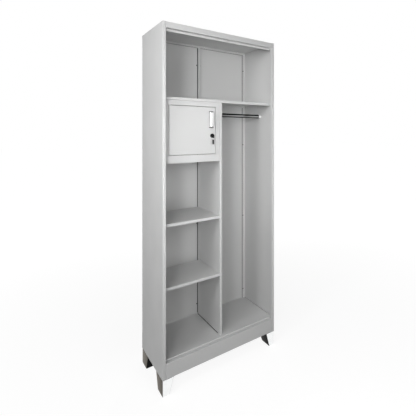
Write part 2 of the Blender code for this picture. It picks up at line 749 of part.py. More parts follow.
def make_handle(door, axis_empty):
    """A bow handle: one flat strap bent back to a foot at each end."""
    half_length = (HANDLE_PITCH + HANDLE_FOOT) / 2
    inner_half = half_length - HANDLE_FOOT
    inner_corner = HANDLE_CORNER - HANDLE_BAR / 2
    grip = HANDLE_PROJECTION - HANDLE_BAR
    outer_top = HANDLE_PROJECTION - HANDLE_CORNER
    outline = [(half_length, 0)]
    outline += arc((half_length - HANDLE_CORNER, outer_top), HANDLE_CORNER, 0, 90, 6)
    outline += arc((HANDLE_CORNER - half_length, outer_top), HANDLE_CORNER, 90, 180, 6)
    outline += [(-half_length, 0), (-inner_half, 0)]
    outline += arc((inner_corner - inner_half, grip - inner_corner), inner_corner, 180, 90, 6)
    outline += arc((inner_half - inner_corner, grip - inner_corner), inner_corner, 90, 0, 6)
    outline += [(inner_half, 0)]
    turn = Matrix((UP, -REAR, RIGHT)).transposed().to_4x4()
    mesh = flat_outline("locker_handle", [outline], HANDLE_WIDTH, turn)
    place = spot(HANDLE_X, INNER_FRONT - FIT, HANDLE_MIDDLE)
    item = add_object("locker_handle", mesh, chrome, place, axis_empty)
    edges = item.modifiers.new("edges", "BEVEL")
    edges.width = HANDLE_EDGE
    edges.segments = 2
    edges.limit_method = "ANGLE"
    edges.angle_limit = math.radians(60)
    holes = bmesh.new()
    ends = [HANDLE_MIDDLE + side * HANDLE_PITCH / 2 for side in (-1, 1)]
    for z in ends:
        reach = HANDLE_SCREW_BITE + SHEET + 2 * OVERRUN
        middle = INNER_FRONT - FIT - HANDLE_SCREW_BITE - FIT + reach / 2
        add_cylinder(holes, spot(HANDLE_X, middle, z), REAR, HANDLE_SCREW_RADIUS + FIT, reach)
    bores = cutter("handle_screw_bores", holes)
    cut(item, bores)
    cut(door, bores)
    make_handle_screws(ends, axis_empty)


def make_handle_screws(ends, axis_empty):
    seat = INNER_FRONT + SHEET + FIT
    tip = SHEET + 2 * FIT + HANDLE_SCREW_BITE
    rim, crown = HANDLE_SCREW_HEAD_RADIUS, HANDLE_SCREW_HEAD_RADIUS * HEAD_CROWN_SHARE
    outline = [(0, -HANDLE_SCREW_HEAD), (crown, -HANDLE_SCREW_HEAD),
               (rim, -HANDLE_SCREW_HEAD / 2), (rim, 0),
               (HANDLE_SCREW_RADIUS, 0), (HANDLE_SCREW_RADIUS, tip), (0, tip)]
    for name, z in zip(("handle_screw_lower", "handle_screw_upper"), ends):
        pin(name, outline, 12, spot(HANDLE_X, seat, z), -REAR, steel, axis_empty)


def make_lock(door, door_empty, lock_empty, bow_empty):
    """The cam lock: housing, ring nut, plug, cam and its screw, all on one axis."""
    face = spot(LOCK_X, INNER_FRONT, LOCK_Z)
    bore = PLUG_RADIUS + FIT
    housing = [(bore, -LOCK_RIM), (LOCK_RIM_RADIUS - LOCK_RIM_CHAMFER, -LOCK_RIM),
               (LOCK_RIM_RADIUS, LOCK_RIM_CHAMFER - LOCK_RIM), (LOCK_RIM_RADIUS, -FIT),
               (LOCK_BARREL_RADIUS, -FIT), (LOCK_BARREL_RADIUS, LOCK_BARREL_END),
               (bore, LOCK_BARREL_END)]
    turned("lock_housing", housing, 24, black, face, REAR, door_empty)
    hole = bmesh.new()
    add_cylinder(hole, face, REAR, LOCK_BARREL_RADIUS + FIT, 2 * (SHEET + OVERRUN), 24)
    cut(door, cutter("lock_bore", hole))

    nut_seat = SHEET + FIT
    across_flats = math.cos(math.pi / 6)
    nut_bore = (LOCK_BARREL_RADIUS + FIT) / across_flats
    nut = [(nut_bore, nut_seat), (LOCK_NUT_RADIUS, nut_seat),
           (LOCK_NUT_RADIUS, nut_seat + LOCK_NUT), (nut_bore, nut_seat + LOCK_NUT)]
    turned("lock_nut", nut, 6, steel, face, REAR, door_empty)

    stub_end = LOCK_BARREL_END + 2 * FIT + CAM_THICKNESS
    plug_rear = LOCK_BARREL_END
    plug_front = PLUG_RECESS - LOCK_RIM
    plug = [(0, plug_front), (PLUG_RADIUS, plug_front), (PLUG_RADIUS, plug_rear),
            (PLUG_STUB_RADIUS, plug_rear), (PLUG_STUB_RADIUS, stub_end), (0, stub_end)]
    item = pin("lock_cylinder", plug, 24, face, REAR, steel, lock_empty)
    way = bmesh.new()
    half_across = BLADE_THICKNESS / 2 + FIT
    half_tall = BLADE_WIDTH / 2 + FIT
    front = INNER_FRONT + plug_front
    add_box(way, spot(LOCK_X - half_across, front - OVERRUN, LOCK_Z - half_tall),
            spot(LOCK_X + half_across, front + KEYWAY_DEPTH, LOCK_Z + half_tall))
    cut(item, cutter("keyway", way))

    make_cam(lock_empty)
    screw_seat = stub_end + FIT
    screw = [(0, screw_seat), (CAM_SCREW_RADIUS, screw_seat),
             (CAM_SCREW_RADIUS, screw_seat + CAM_SCREW / 2),
             (CAM_SCREW_RADIUS * HEAD_CROWN_SHARE, screw_seat + CAM_SCREW),
             (0, screw_seat + CAM_SCREW)]
    pin("cam_screw", screw, 16, face, REAR, steel, lock_empty)
    make_key(front, lock_empty, bow_empty)


def make_cam(lock_empty):
    """A round-ended lever on the plug's stub; at rest it hangs down, clear of the frame."""
    half = CAM_WIDTH / 2
    tip = CAM_LENGTH - half / 2
    outline = arc((0, 0), half, 0, 180, 10) + arc((0, -tip), half / 2, 180, 360, 8)
    hole = arc((0, 0), PLUG_STUB_RADIUS + FIT, 0, 345, 23)
    turn = Matrix((RIGHT, UP, -REAR)).transposed().to_4x4()
    mesh = flat_outline("lock_cam", [outline, hole], CAM_THICKNESS, turn)
    y = INNER_FRONT + LOCK_BARREL_END + FIT + CAM_THICKNESS / 2
    add_object("lock_cam", mesh, steel, spot(LOCK_X, y, LOCK_Z), lock_empty)


def make_key(plug_front, lock_empty, bow_empty):
    """A folding key: blade with an eye, pivot pin, forked steel link and black bow."""
    pivot_y = INNER_FRONT - PIVOT_PROUD
    tail = plug_front + KEYWAY_DEPTH - FIT
    half = BLADE_WIDTH / 2
    outline = arc((0, 0), EYE_RADIUS, 60, 300, 14)
    neck = EYE_RADIUS * math.cos(math.radians(60))
    outline += [(neck, -half), (tail - pivot_y, -half), (tail - pivot_y, half), (neck, half)]
    eye = arc((0, 0), PIVOT_RADIUS + FIT, 0, 330, 11)
    turn = Matrix((REAR, UP, RIGHT)).transposed().to_4x4()
    mesh = flat_outline("key_blade", [outline, eye], BLADE_THICKNESS, turn)
    pivot = spot(LOCK_X, pivot_y, LOCK_Z)
    add_object("key_blade", mesh, steel, pivot, lock_empty)

    span = BLADE_THICKNESS / 2 + FIT + LINK_CHEEK + FIT
    end = span + PIVOT_HEAD
    stem = [(0, -end), (PIVOT_HEAD_RADIUS, -end), (PIVOT_HEAD_RADIUS, -span),
            (PIVOT_RADIUS, -span), (PIVOT_RADIUS, span), (PIVOT_HEAD_RADIUS, span),
            (PIVOT_HEAD_RADIUS, end), (0, end)]
    pin("key_pivot_pin", stem, 12, pivot, RIGHT, steel, bow_empty)

    make_key_link(pivot, bow_empty)
    make_key_bow(pivot, bow_empty)


def make_key_link(pivot, bow_empty):
    """Two cheeks beside the blade's eye, bridged below it where the bow is moulded on."""
    half = LINK_WIDTH / 2
    base = -BOW_DROP + FIT
    outline = [(-half, base), (half, base)] + arc((0, 0), half, 0, 180, 10)
    hole = arc((0, 0), PIVOT_RADIUS + FIT, 0, 330, 11)
    turn = Matrix((REAR, UP, RIGHT)).transposed().to_4x4()
    across = BLADE_THICKNESS + 2 * FIT + 2 * LINK_CHEEK
    mesh = flat_outline("key_link", [outline, hole], across, turn)
    item = add_object("key_link", mesh, steel, pivot, bow_empty)
    slot = bmesh.new()
    half_slot = BLADE_THICKNESS / 2 + FIT
    add_box(slot, pivot + Vector((-half_slot, -half - OVERRUN, base + LINK_BRIDGE)),
            pivot + Vector((half_slot, half + OVERRUN, half + OVERRUN)))
    cut(item, cutter("link_fork", slot))


def make_key_bow(pivot, bow_empty):
    """The black bow, a flat pad with round ends that hangs below the lock."""
    radius = BOW_WIDTH / 2
    run = BOW_LENGTH - BOW_WIDTH
    top = -BOW_DROP - radius
    outline = arc((0, top), radius, 0, 180, 12) + arc((0, top - run), radius, 180, 360, 12)
    turn = Matrix((RIGHT, UP, -REAR)).transposed().to_4x4()
    mesh = flat_outline("key_bow", [outline], BOW_THICKNESS, turn)
    item = add_object("key_bow", mesh, black, pivot, bow_empty)
    edges = item.modifiers.new("edges", "BEVEL")
    edges.width = BOW_EDGE
    edges.segments = 2
    edges.limit_method = "ANGLE"
    edges.angle_limit = math.radians(60)


def make_rail():
    """The hanging tube and the cup at each of its ends."""
    bore = RAIL_RADIUS + FIT
    cup_radius = bore + CUP_WALL
    cup = [(CUP_HOLE_RADIUS, 0), (CUP_BASE_RADIUS, 0), (CUP_BASE_RADIUS, CUP_BASE),
           (cup_radius, CUP_BASE), (cup_radius, CUP_LENGTH), (bore, CUP_LENGTH),
           (bore, CUP_BASE), (CUP_HOLE_RADIUS, CUP_BASE)]
    left = DIVIDER_LEFT + SHEET + FIT
    right = INNER_RIGHT
    ends = {"rail_cup_left": (left, RIGHT), "rail_cup_right": (right, -RIGHT)}
    for name, (x, axis) in ends.items():
        turned(name, cup, 32, chrome, spot(x, RAIL_SETBACK, RAIL_HEIGHT), axis)
    start = left + CUP_BASE + FIT
    length = right - CUP_BASE - FIT - start
    inner = RAIL_RADIUS - RAIL_WALL
    tube = [(inner, 0), (RAIL_RADIUS, 0), (RAIL_RADIUS, length), (inner, length)]
    turned("hanging_rail", tube, 32, chrome, spot(start, RAIL_SETBACK, RAIL_HEIGHT), RIGHT)


def make_leg(name, right, rear):
    """A tapered chrome leg, folded to a box that is open at its foot, with a plate at its top.

    The sheet's ends meet in a seam at the inner corner, where the leg isn't seen. The walls
    end just under the body, and the plate lies against it.
    """
    height = LEG_HEIGHT - FIT
    bm = plate(LEG_SIDE_TOP, height)
    start = LEG_BEND + FIT + SLIT_WIDTH
    stop = LEG_PLATE_LENGTH
    slit_u(bm, start, height, -1, -1)
    slit_u(bm, stop, height, -1, 1)
    fold(bm, [(0, 0, 0, height)], (0, 0, -LEG_FRONT_TOP), (LEG_SIDE_TOP, 0, 0))
    rear_wall = LEG_FRONT_TOP - LEG_SHEET - LEG_SEAM
    fold(bm, [(0, LEG_SIDE_TOP, 0, height)], (0, 0, -rear_wall))
    wall_top = height - LEG_TOP_GAP
    for vert in bm.verts:
        if vert.co.y > wall_top and not start <= vert.co.x <= stop:
            vert.co.y = wall_top
    fold(bm, [(1, height, start, stop)], (0, 0, -LEG_PLATE_WIDTH))
    for vert in bm.verts:
        foot_share = 1 - vert.co.y / height
        side_taper = (LEG_SIDE_TOP - LEG_SIDE_FOOT) / LEG_SIDE_TOP
        front_taper = (LEG_FRONT_TOP - LEG_FRONT_FOOT) / LEG_FRONT_TOP
        vert.co.x *= 1 - side_taper * foot_share
        vert.co.z *= 1 - front_taper * foot_share
    outward = RIGHT if right else -RIGHT
    x = WIDTH - LEG_INSET if right else LEG_INSET
    y = WALL_DEPTH - LEG_INSET if rear else LEG_INSET
    origin = spot(x, y, -LEG_HEIGHT)
    return sheet_piece(name, bm, origin, -REAR if rear else REAR, UP, outward, chrome,
                       LEG_SHEET, LEG_BEND)


def leg_corners():
    """Each leg's name with True for its right and rear sides."""
    for rear in (False, True):
        for right in (False, True):
            yield ("leg_" + ("rear_" if rear else "front_") + ("right" if right else "left"),
                   right, rear)


def bolt_places():
    """Each leg bolt's name ending and its place on the underside of the body."""
    places = {}
    for name, right, rear in leg_corners():
        for number, setback in enumerate(BOLT_SETBACKS, 1):
            x = WIDTH - BOLT_X if right else BOLT_X
            y = WALL_DEPTH - setback if rear else setback
            places[name.replace("leg_", "") + "_" + str(number)] = spot(x, y, 0)
    return places


def make_leg_fasteners(pieces):
    """Hexagon bolts up through the leg plates and base returns, and their nuts."""
    head_top = -FIT - LEG_SHEET - FIT
    outline = [(0, head_top - BOLT_HEAD), (BOLT_HEAD_RADIUS, head_top - BOLT_HEAD),
               (BOLT_HEAD_RADIUS, head_top), (BOLT_RADIUS, head_top),
               (BOLT_RADIUS, BOLT_REACH), (0, BOLT_REACH)]
    nut_bore = BOLT_RADIUS + FIT
    seat = SHEET + FIT
    nut = [(nut_bore, seat), (BOLT_HEAD_RADIUS, seat), (BOLT_HEAD_RADIUS, seat + NUT_HEIGHT),
           (nut_bore, seat + NUT_HEIGHT)]
    bores = bmesh.new()
    for ending, place in bolt_places().items():
        pin("leg_bolt_" + ending, outline, 6, place, UP, steel)
        turned("leg_nut_" + ending, nut, 6, steel, place, UP)
        add_cylinder(bores, place, UP, nut_bore, 2 * (BOLT_REACH + OVERRUN), 12)
    tool = cutter("leg_bolt_bores", bores)
    for piece in pieces:
        cut(piece, tool)


def build():
    clear_scene()
    make_collections()
    make_materials()

    make_side("left_side_panel", False)
    make_side("right_side_panel", True)
    make_top()
    make_floor()
    plinth = make_base_rail("plinth", True)
    rear_rail = make_base_rail("rear_base_rail", False)
    make_back("back_panel_left", False)
    make_back("back_panel_right", True)
    make_joint_strip()

    make_shelf("top_shelf", INNER_RIGHT, TOP_SHELF_HEIGHT, TOP_SHELF_EDGE, around_strip=True)
    make_shelf("upper_shelf", BAY_RIGHT, UPPER_SHELF_HEIGHT, SHELF_EDGE)
    make_shelf("lower_shelf", BAY_RIGHT, LOWER_SHELF_HEIGHT, SHELF_EDGE, LOWER_SHELF_GAP)
    make_divider()
    make_rail()

    make_locker_floor()
    frame = make_locker_frame()
    hinge = add_empty("door_axis", spot(HINGE_X, HINGE_Y, DOOR_BOTTOM))
    lock_axis = add_empty("lock_axis", spot(LOCK_X, INNER_FRONT, LOCK_Z), hinge)
    bow_axis = add_empty("bow_axis", spot(LOCK_X, INNER_FRONT - PIVOT_PROUD, LOCK_Z), lock_axis)
    door = make_door(hinge)
    bores = hinge_bores("hinge_pin_bores")
    cut(frame, bores)
    cut(door, bores)
    make_hinge_pins(hinge)
    make_handle(door, hinge)
    make_lock(door, hinge, lock_axis, bow_axis)

    legs = [make_leg(*corner) for corner in leg_corners()]
    make_leg_fasteners(legs + [plinth, rear_rail])


build()
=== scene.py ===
# %% [markdown]
# A steel wardrobe, dressed
# The solid model of the wardrobe is already made: sheets, shelves, locker box, legs. This
# notebook loads it as a fixed frame and gives it its looks. Flat sheets keep their solids and
# get a paint. Round and polished pieces are made again, finer, exactly where their solids are.

# %% The solid model comes in as a fixed frame
import json
import math

import bmesh
import bpy
import numpy as np
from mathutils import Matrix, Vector


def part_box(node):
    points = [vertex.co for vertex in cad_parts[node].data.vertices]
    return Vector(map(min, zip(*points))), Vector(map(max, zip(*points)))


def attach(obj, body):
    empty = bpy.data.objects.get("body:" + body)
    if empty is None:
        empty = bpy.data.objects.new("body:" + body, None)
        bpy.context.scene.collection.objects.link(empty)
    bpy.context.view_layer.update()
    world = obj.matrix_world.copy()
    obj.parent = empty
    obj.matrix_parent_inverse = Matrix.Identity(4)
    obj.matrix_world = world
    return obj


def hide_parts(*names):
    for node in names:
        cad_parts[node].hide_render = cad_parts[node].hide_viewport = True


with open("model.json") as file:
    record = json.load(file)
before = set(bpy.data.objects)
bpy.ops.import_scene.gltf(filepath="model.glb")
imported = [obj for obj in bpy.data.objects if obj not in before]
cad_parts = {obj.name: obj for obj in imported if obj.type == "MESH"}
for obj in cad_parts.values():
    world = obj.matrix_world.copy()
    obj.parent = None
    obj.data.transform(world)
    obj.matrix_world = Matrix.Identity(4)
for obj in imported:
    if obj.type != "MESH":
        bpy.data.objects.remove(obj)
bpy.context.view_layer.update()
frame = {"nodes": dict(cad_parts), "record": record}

MM = 0.001
SHEET = 1 * MM
nodes = frame["nodes"]

# %% [markdown]
# Where a solid is. Every new piece takes its place from the box of the solid that it stands
# for, so nothing has to be fitted by eye. The places could be typed in, but then they would
# have to be typed again whenever the model changes.

# %% Boxes of the solids
def ends(name):
    """The lowest and highest corner of a solid as two arrays."""
    low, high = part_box(name)
    return np.array(low), np.array(high)


def middle(name):
    low, high = ends(name)
    return (low + high) / 2


X, Y, Z = np.eye(3)

# %% [markdown]
# One skin from a grid. Nearly every piece here is a surface of two parameters. Its points are
# worked out as a whole array, rows by columns, and the faces follow from the grid's order: each
# cell is one four-sided face. Modelling by hand would do for one piece; a grid gives all of
# them from their formulas, and an evenly spaced grid also shades evenly.

# %% From a grid of points to a mesh
MERGE_DISTANCE = 0.001 * MM


def skin(points, round_rows=False, round_columns=False):
    """Points and four-sided faces of a grid; a round direction joins its last line to its first."""
    rows, columns = points.shape[:2]
    index = np.arange(rows * columns).reshape(rows, columns)
    if round_rows:
        index = np.concatenate([index, index[:1]])
    if round_columns:
        index = np.concatenate([index, index[:, :1]], axis=1)
    quads = np.stack([index[:-1, :-1], index[1:, :-1], index[1:, 1:], index[:-1, 1:]], axis=-1)
    return points.reshape(-1, 3), quads.reshape(-1, 4)


def piece(name, skins, finish, body, stands_for=(), crease=35):
    """One object from one or more skins: merged, faced outwards, smooth up to the crease angle."""
    starts = np.cumsum([0] + [len(points) for points, _ in skins[:-1]])
    points = np.concatenate([points for points, _ in skins])
    faces = np.concatenate([quads + start for (_, quads), start in zip(skins, starts)])
    mesh = bpy.data.meshes.new(name)
    mesh.from_pydata(points.tolist(), [], faces.tolist())
    bm = bmesh.new()
    bm.from_mesh(mesh)
    bmesh.ops.remove_doubles(bm, verts=bm.verts, dist=MERGE_DISTANCE)
    bmesh.ops.recalc_face_normals(bm, faces=bm.faces)
    bm.to_mesh(mesh)
    bm.free()
    mesh.shade_smooth()
    mesh.set_sharp_from_angle(angle=math.radians(crease))
    mesh.materials.append(finish)
    made = bpy.data.objects.new(name, mesh)
    bpy.context.scene.collection.objects.link(made)
    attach(made, body)
    if stands_for:
        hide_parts(*stands_for)
    return made


# %% [markdown]
# Rounded corners. Real edges are never quite sharp, and a thin line of light along them tells
# the eye what a thing is made of. A profile is drawn with its corners and a radius for each;
# the corners are then cut back to arcs that touch both sides.

# %% A profile with rounded corners
def rounded(corners, radii, steps=6, closed=True):
    """Replaces each corner by an arc: it starts radius / tan(half the corner's angle) before the
    corner and turns from one side's direction to the other's in even steps."""
    corners, radii = np.array(corners, float), np.array(radii, float)
    before, after = np.roll(corners, 1, axis=0), np.roll(corners, -1, axis=0)
    come = corners - before
    leave = after - corners
    come /= np.linalg.norm(come, axis=1, keepdims=True)
    leave /= np.linalg.norm(leave, axis=1, keepdims=True)
    turn = np.arctan2(come[:, 0] * leave[:, 1] - come[:, 1] * leave[:, 0], (come * leave).sum(1))
    if not closed:
        turn[[0, -1]] = 0
        radii[[0, -1]] = 0
    reach = radii * np.tan(np.abs(turn) / 2)
    share = np.linspace(0, 1, steps + 1)[None, :]
    heading = np.arctan2(come[:, 1], come[:, 0])[:, None]
    swing = heading + turn[:, None] * share
    side = np.sign(turn)[:, None]
    start = corners - come * reach[:, None]
    across = start[:, 0, None] + side * radii[:, None] * (np.sin(swing) - np.sin(heading))
    along = start[:, 1, None] - side * radii[:, None] * (np.cos(swing) - np.cos(heading))
    return np.stack([across, along], axis=-1).reshape(-1, 2)


# %% [markdown]
# Turned pieces. A rail, a cup, a screw head or the rim of a lock is a profile swung round an
# axis. Blender has a Screw modifier and a Spin tool for this; here the circle is worked out
# directly, because one formula can also give the flats of a hexagon.

# %% A profile swung round an axis
def turned(profile, centre, axis, steps=48, flats=None):
    """point(i, a) = centre + axis * along(i) + radius(i) * (side * cos a + up * sin a).

    With flats, a radius is held to that of a hexagon of this half width, so a round chamfer
    cuts the hexagon's corners as it does on a real bolt head."""
    axis = np.array(axis, float)
    side = X if abs(axis[0]) < 0.9 else Y
    side = side - axis * side.dot(axis)
    up = np.cross(axis, side)
    angle = np.arange(steps) * 2 * np.pi / steps
    radius = np.repeat(profile[:, :1], steps, axis=1)
    if flats is not None:
        wedge = np.mod(angle, np.pi / 3) - np.pi / 6
        radius = np.minimum(radius, flats / np.cos(wedge))
    ring = side * np.cos(angle)[:, None] + up * np.sin(angle)[:, None]
    points = centre + profile[:, 1, None, None] * axis + radius[:, :, None] * ring[None]
    return points


# %% [markdown]
# Small helpers for node materials. A finish is a Principled shader fed by a few noises. What is
# the same all over, such as how metallic a thing is, is set on the shader itself; only what
# changes from place to place comes through nodes. The patterns read object coordinates, in
# metres, so a scale of 900 means a grain of about a millimetre. A noise stays mostly within a
# known range, and so does the sum of two; spread takes such a range to the values wanted.

# %% A few nodes, wired
ONE_NOISE = (0.3, 0.7)
TWO_NOISES = (0.6, 1.4)
TWO_NOISES_NARROW = (0.7, 1.3)


class Finish:
    """A node material under construction, with short calls for the nodes used most."""

    def __init__(self, name, metallic, specular=0.5):
        self.material = bpy.data.materials.new(name)
        self.material.use_nodes = True
        self.tree = self.material.node_tree
        self.shader = self.tree.nodes["Principled BSDF"]
        self.shader.inputs["Metallic"].default_value = metallic
        self.shader.inputs["Specular IOR Level"].default_value = specular
        self.place = self.tree.nodes.new("ShaderNodeTexCoord").outputs["Object"]

    def stretched(self, scale):
        """The coordinates, drawn out along an axis where the scale is small."""
        node = self.tree.nodes.new("ShaderNodeMapping")
        node.inputs["Scale"].default_value = scale
        self.tree.links.new(self.place, node.inputs["Vector"])
        return node.outputs["Vector"]

    def noise(self, scale, detail, place=None):
        node = self.tree.nodes.new("ShaderNodeTexNoise")
        node.inputs["Scale"].default_value = scale
        node.inputs["Detail"].default_value = detail
        self.tree.links.new(place or self.place, node.inputs["Vector"])
        return node.outputs["Fac"]

    def spread(self, value, low, high, within=ONE_NOISE):
        """Takes a value from the range it lies within to low..high and holds it there."""
        node = self.tree.nodes.new("ShaderNodeMapRange")
        node.inputs["From Min"].default_value = within[0]
        node.inputs["From Max"].default_value = within[1]
        node.inputs["To Min"].default_value = low
        node.inputs["To Max"].default_value = high
        self.tree.links.new(value, node.inputs["Value"])
        return node.outputs["Result"]

    def rise(self, value, end, blur):
        """0 at first, 1 from the end on, even over the blur before it."""
        return self.spread(value, 0, 1, (end - blur, end))

    def fall(self, value, start, blur):
        """1 up to the start, then 0, even over the blur after it."""
        return self.spread(value, 1, 0, (start, start + blur))

    def attribute(self, name):
        """A number from 0 to 1 that the piece carries at each of its points."""
        node = self.tree.nodes.new("ShaderNodeAttribute")
        node.attribute_name = name
        return node.outputs["Fac"]

    def along(self, direction, start=0.0):
        """|place . direction - start|: how far a point lies from a start, either way, in metres."""
        node = self.tree.nodes.new("ShaderNodeVectorMath")
        node.operation = "DOT_PRODUCT"
        self.tree.links.new(self.place, node.inputs[0])
        node.inputs[1].default_value = direction
        return self.math("ABSOLUTE", self.math("SUBTRACT", node.outputs["Value"], start))

    def math(self, operation, *values):
        """One operation; each value is a number or an earlier result."""
        node = self.tree.nodes.new("ShaderNodeMath")
        node.operation = operation
        for value, place in zip(values, node.inputs):
            if isinstance(value, bpy.types.NodeSocket):
                self.tree.links.new(value, place)
            else:
                place.default_value = value
        return node.outputs["Value"]

    def blend(self, value, one, other):
        """A colour between two, by a value from 0 to 1; each is a colour or an earlier result."""
        node = self.tree.nodes.new("ShaderNodeMix")
        node.data_type = "RGBA"
        for side, given in (("A", one), ("B", other)):
            if isinstance(given, tuple):
                node.inputs[side].default_value = (*given, 1)
            else:
                self.tree.links.new(given, node.inputs[side])
        self.tree.links.new(value, node.inputs["Factor"])
        return node.outputs["Result"]

    def sum(self, one, other):
        return self.math("ADD", one, other)

    def either(self, one, other):
        """1 where one of two values is 1."""
        return self.math("MAXIMUM", one, other)

    def both(self, *values):
        """1 where all of some values are 1."""
        result = values[0]
        for value in values[1:]:
            result = self.math("MINIMUM", result, value)
        return result

    def colour(self, value):
        self.tree.links.new(value, self.shader.inputs["Base Color"])

    def glance(self, value):
        """The share of the light that a metal mirrors at a glancing angle."""
        self.tree.links.new(value, self.shader.inputs["Specular Tint"])

    def roughness(self, value):
        self.tree.links.new(value, self.shader.inputs["Roughness"])

    def bump(self, height, strength, depth):
        """Raises and sinks the surface by a height of 0 to 1 times depth, in metres."""
        node = self.tree.nodes.new("ShaderNodeBump")
        node.inputs["Strength"].default_value = strength
        node.inputs["Distance"].default_value = depth
        self.tree.links.new(height, node.inputs["Height"])
        self.tree.links.new(node.outputs["Normal"], self.shader.inputs["Normal"])


# %% [markdown]
# Powder coat. The wardrobe's sheets are sprayed with dry powder that melts to a tough satin
# skin. It is never quite level: the skin has a fine ripple of a millimetre or so, like the peel
# of an orange, and its grey drifts very slightly from place to place. One noise gives the
# ripple, a slow one the drift, and a third makes the sheen a little uneven. A picture of paint
# could be wrapped round the sheets instead, but noises have no seams and stay sharp close up.

# %% Light grey powder coat
light_grey = (0.560, 0.562, 0.560), (0.600, 0.602, 0.600)
# the dark colour painted on as shade in pockets and inner corners
painted_shade_colour = (0.030, 0.030, 0.031)


def powder_coat(name, painted_shade=None):
    """The last argument, if given, is a function of the finish that gives 1 where dark shade is
    painted on.
    """
    paint = Finish(name, metallic=0.0)
    slow = paint.noise(scale=2.5, detail=3.0)
    speck = paint.noise(scale=1500, detail=1.0)
    coat = paint.blend(paint.spread(paint.sum(slow, speck), 0, 1, TWO_NOISES), *light_grey)
    if painted_shade:
        # painted shade: the coat turns dark where the mask is 1
        coat = paint.blend(painted_shade(paint), coat, painted_shade_colour)
    paint.colour(coat)
    paint.roughness(paint.spread(paint.noise(scale=9, detail=4.0), low=0.36, high=0.46))
    ripple = paint.sum(paint.noise(scale=700, detail=2.0), paint.noise(scale=120, detail=1.0))
    paint.bump(ripple, strength=0.12, depth=0.05 * MM)
    return paint.material


grey_paint = powder_coat("light_grey_powder_coat")
print("paint:", grey_paint.name)

# %% [markdown]
# Painted shade in pockets. The sheets are painted dark behind the rear flanges, at the foot of the
# strip over the seam, and where the divider and the sides stand on the floor: painted shade for the
# thin dark lines that shade makes in these narrow pockets and inner corners. Each pocket is a small
# sum of rises and falls along the axes, so it needs no extra geometry and moves with the sheets
# when the model's sizes change.

# %% Painted shade at the back
side_rear_flange, top_rear_flange, flange_margin = 19 * MM, 15 * MM, 1 * MM
side_flange = ends("right_side_panel")[1][0] - side_rear_flange
top_flange = ends("top_panel")[1][2] - top_rear_flange
side_bend_offset, top_bend_offset = 6 * MM, 3 * MM
strip_crown_half = 6 * MM
strip_back = ends("back_joint_strip")[1][1]
back_face = ends("back_panel_right")[1][1]
slope = Y + 5 / 4 * Z
slope_face = slope.dot((0, back_face, top_flange - top_bend_offset))


def painted_shade_behind_flanges(paint):
    """Painted shade on the back from the flanges' edges outwards, on its inner face only, up to the
    side's bend and over the top's, where the sheet comes 5 mm forward for 4 mm up."""
    across, deep, high = paint.along(X), paint.along(Y), paint.along(Z)
    beside = paint.both(paint.rise(across, side_flange - flange_margin, blur=1 * MM),
                        paint.fall(across, side_flange + side_bend_offset, blur=0.5 * MM),
                        paint.fall(deep, back_face - 0.7 * SHEET, blur=0.4 * SHEET))
    above = paint.both(paint.rise(high, top_flange - flange_margin, blur=1 * MM),
                       paint.fall(paint.along(slope), slope_face - 0.6 * SHEET,
                                  blur=0.4 * SHEET))
    return paint.either(beside, above)


def painted_shade_on_strip_sides(paint):
    """Painted shade on the strip's sides, close to the back."""
    strip_foot, strip_margin = 7 * MM, 2 * MM
    return paint.both(paint.rise(paint.along(Y), strip_back - strip_foot, blur=2 * MM),
                      paint.fall(paint.along(X), strip_crown_half + strip_margin, blur=1 * MM))


# paints dark shade into the joints behind the flanges and beside the strip
back_coat_with_painted_shade = powder_coat("light_grey_powder_coat_back_painted_shade", painted_shade_behind_flanges)
strip_coat_with_painted_shade = powder_coat("light_grey_powder_coat_strip_painted_shade", painted_shade_on_strip_sides)
print("edges of the rear flanges, mm:", round(side_flange / MM, 1), round(top_flange / MM, 1))

# %% Painted shade at the floor
divider_left, divider_front, floor_top = ends("divider")[0]
divider_edge = 30 * MM
inner_side = ends("right_side_panel")[1][0] - SHEET
corner_width = 3 * MM


def behind_divider_edge(paint):
    """1 from behind the divider's boxed front edge on."""
    return paint.rise(paint.along(Y, divider_front), divider_edge, blur=4 * MM)


def painted_shade_at_divider_foot(paint):
    """Painted shade in a strip up from the divider's foot, 3 mm with its blur."""
    low = paint.fall(paint.along(Z), floor_top + corner_width - 1 * MM, blur=1 * MM)
    return paint.both(low, behind_divider_edge(paint))


def painted_shade_in_floor_corners(paint):
    """Painted shade in strips of the floor's top face along its sides and beside the divider."""
    sides = paint.rise(paint.along(X), inner_side - corner_width, blur=1 * MM)
    divider = paint.fall(paint.along(X, divider_left), corner_width / 2, blur=corner_width / 2)
    top_face = paint.rise(paint.along(Z), floor_top - 0.6 * SHEET, blur=0.4 * SHEET)
    return paint.both(paint.either(sides, divider), behind_divider_edge(paint), top_face)


# paints dark shade into the inner corners where the divider and the sides meet the floor
divider_coat_with_painted_shade = powder_coat("light_grey_powder_coat_divider_painted_shade", painted_shade_at_divider_foot)
floor_coat_with_painted_shade = powder_coat("light_grey_powder_coat_floor_painted_shade", painted_shade_in_floor_corners)
print("top of the floor, mm:", round(floor_top / MM, 1))

# %% [markdown]
# Polished chrome. Chrome plate is a mirror, so its shade comes from the room. In the photograph
# the legs' walls that face front are nearly white and those that face sideways a brownish grey,
# so its room was probably white in front and dark beside the wardrobe. The room here is white
# all round, so a piece can carry a shade of its own, 0 for the light colour and 1 for the dark
# one. Any metal mirrors nearly all light at a glancing angle, however dark it is, so the dark
# places also have that held back. What handling leaves goes on top: hair-fine wiping marks along
# the piece, and faint dull smears.

# %% Chrome, for the legs, the rail and the handle
worn_share, streak_share, stretch_share = 0.93, 0.72, 0.85


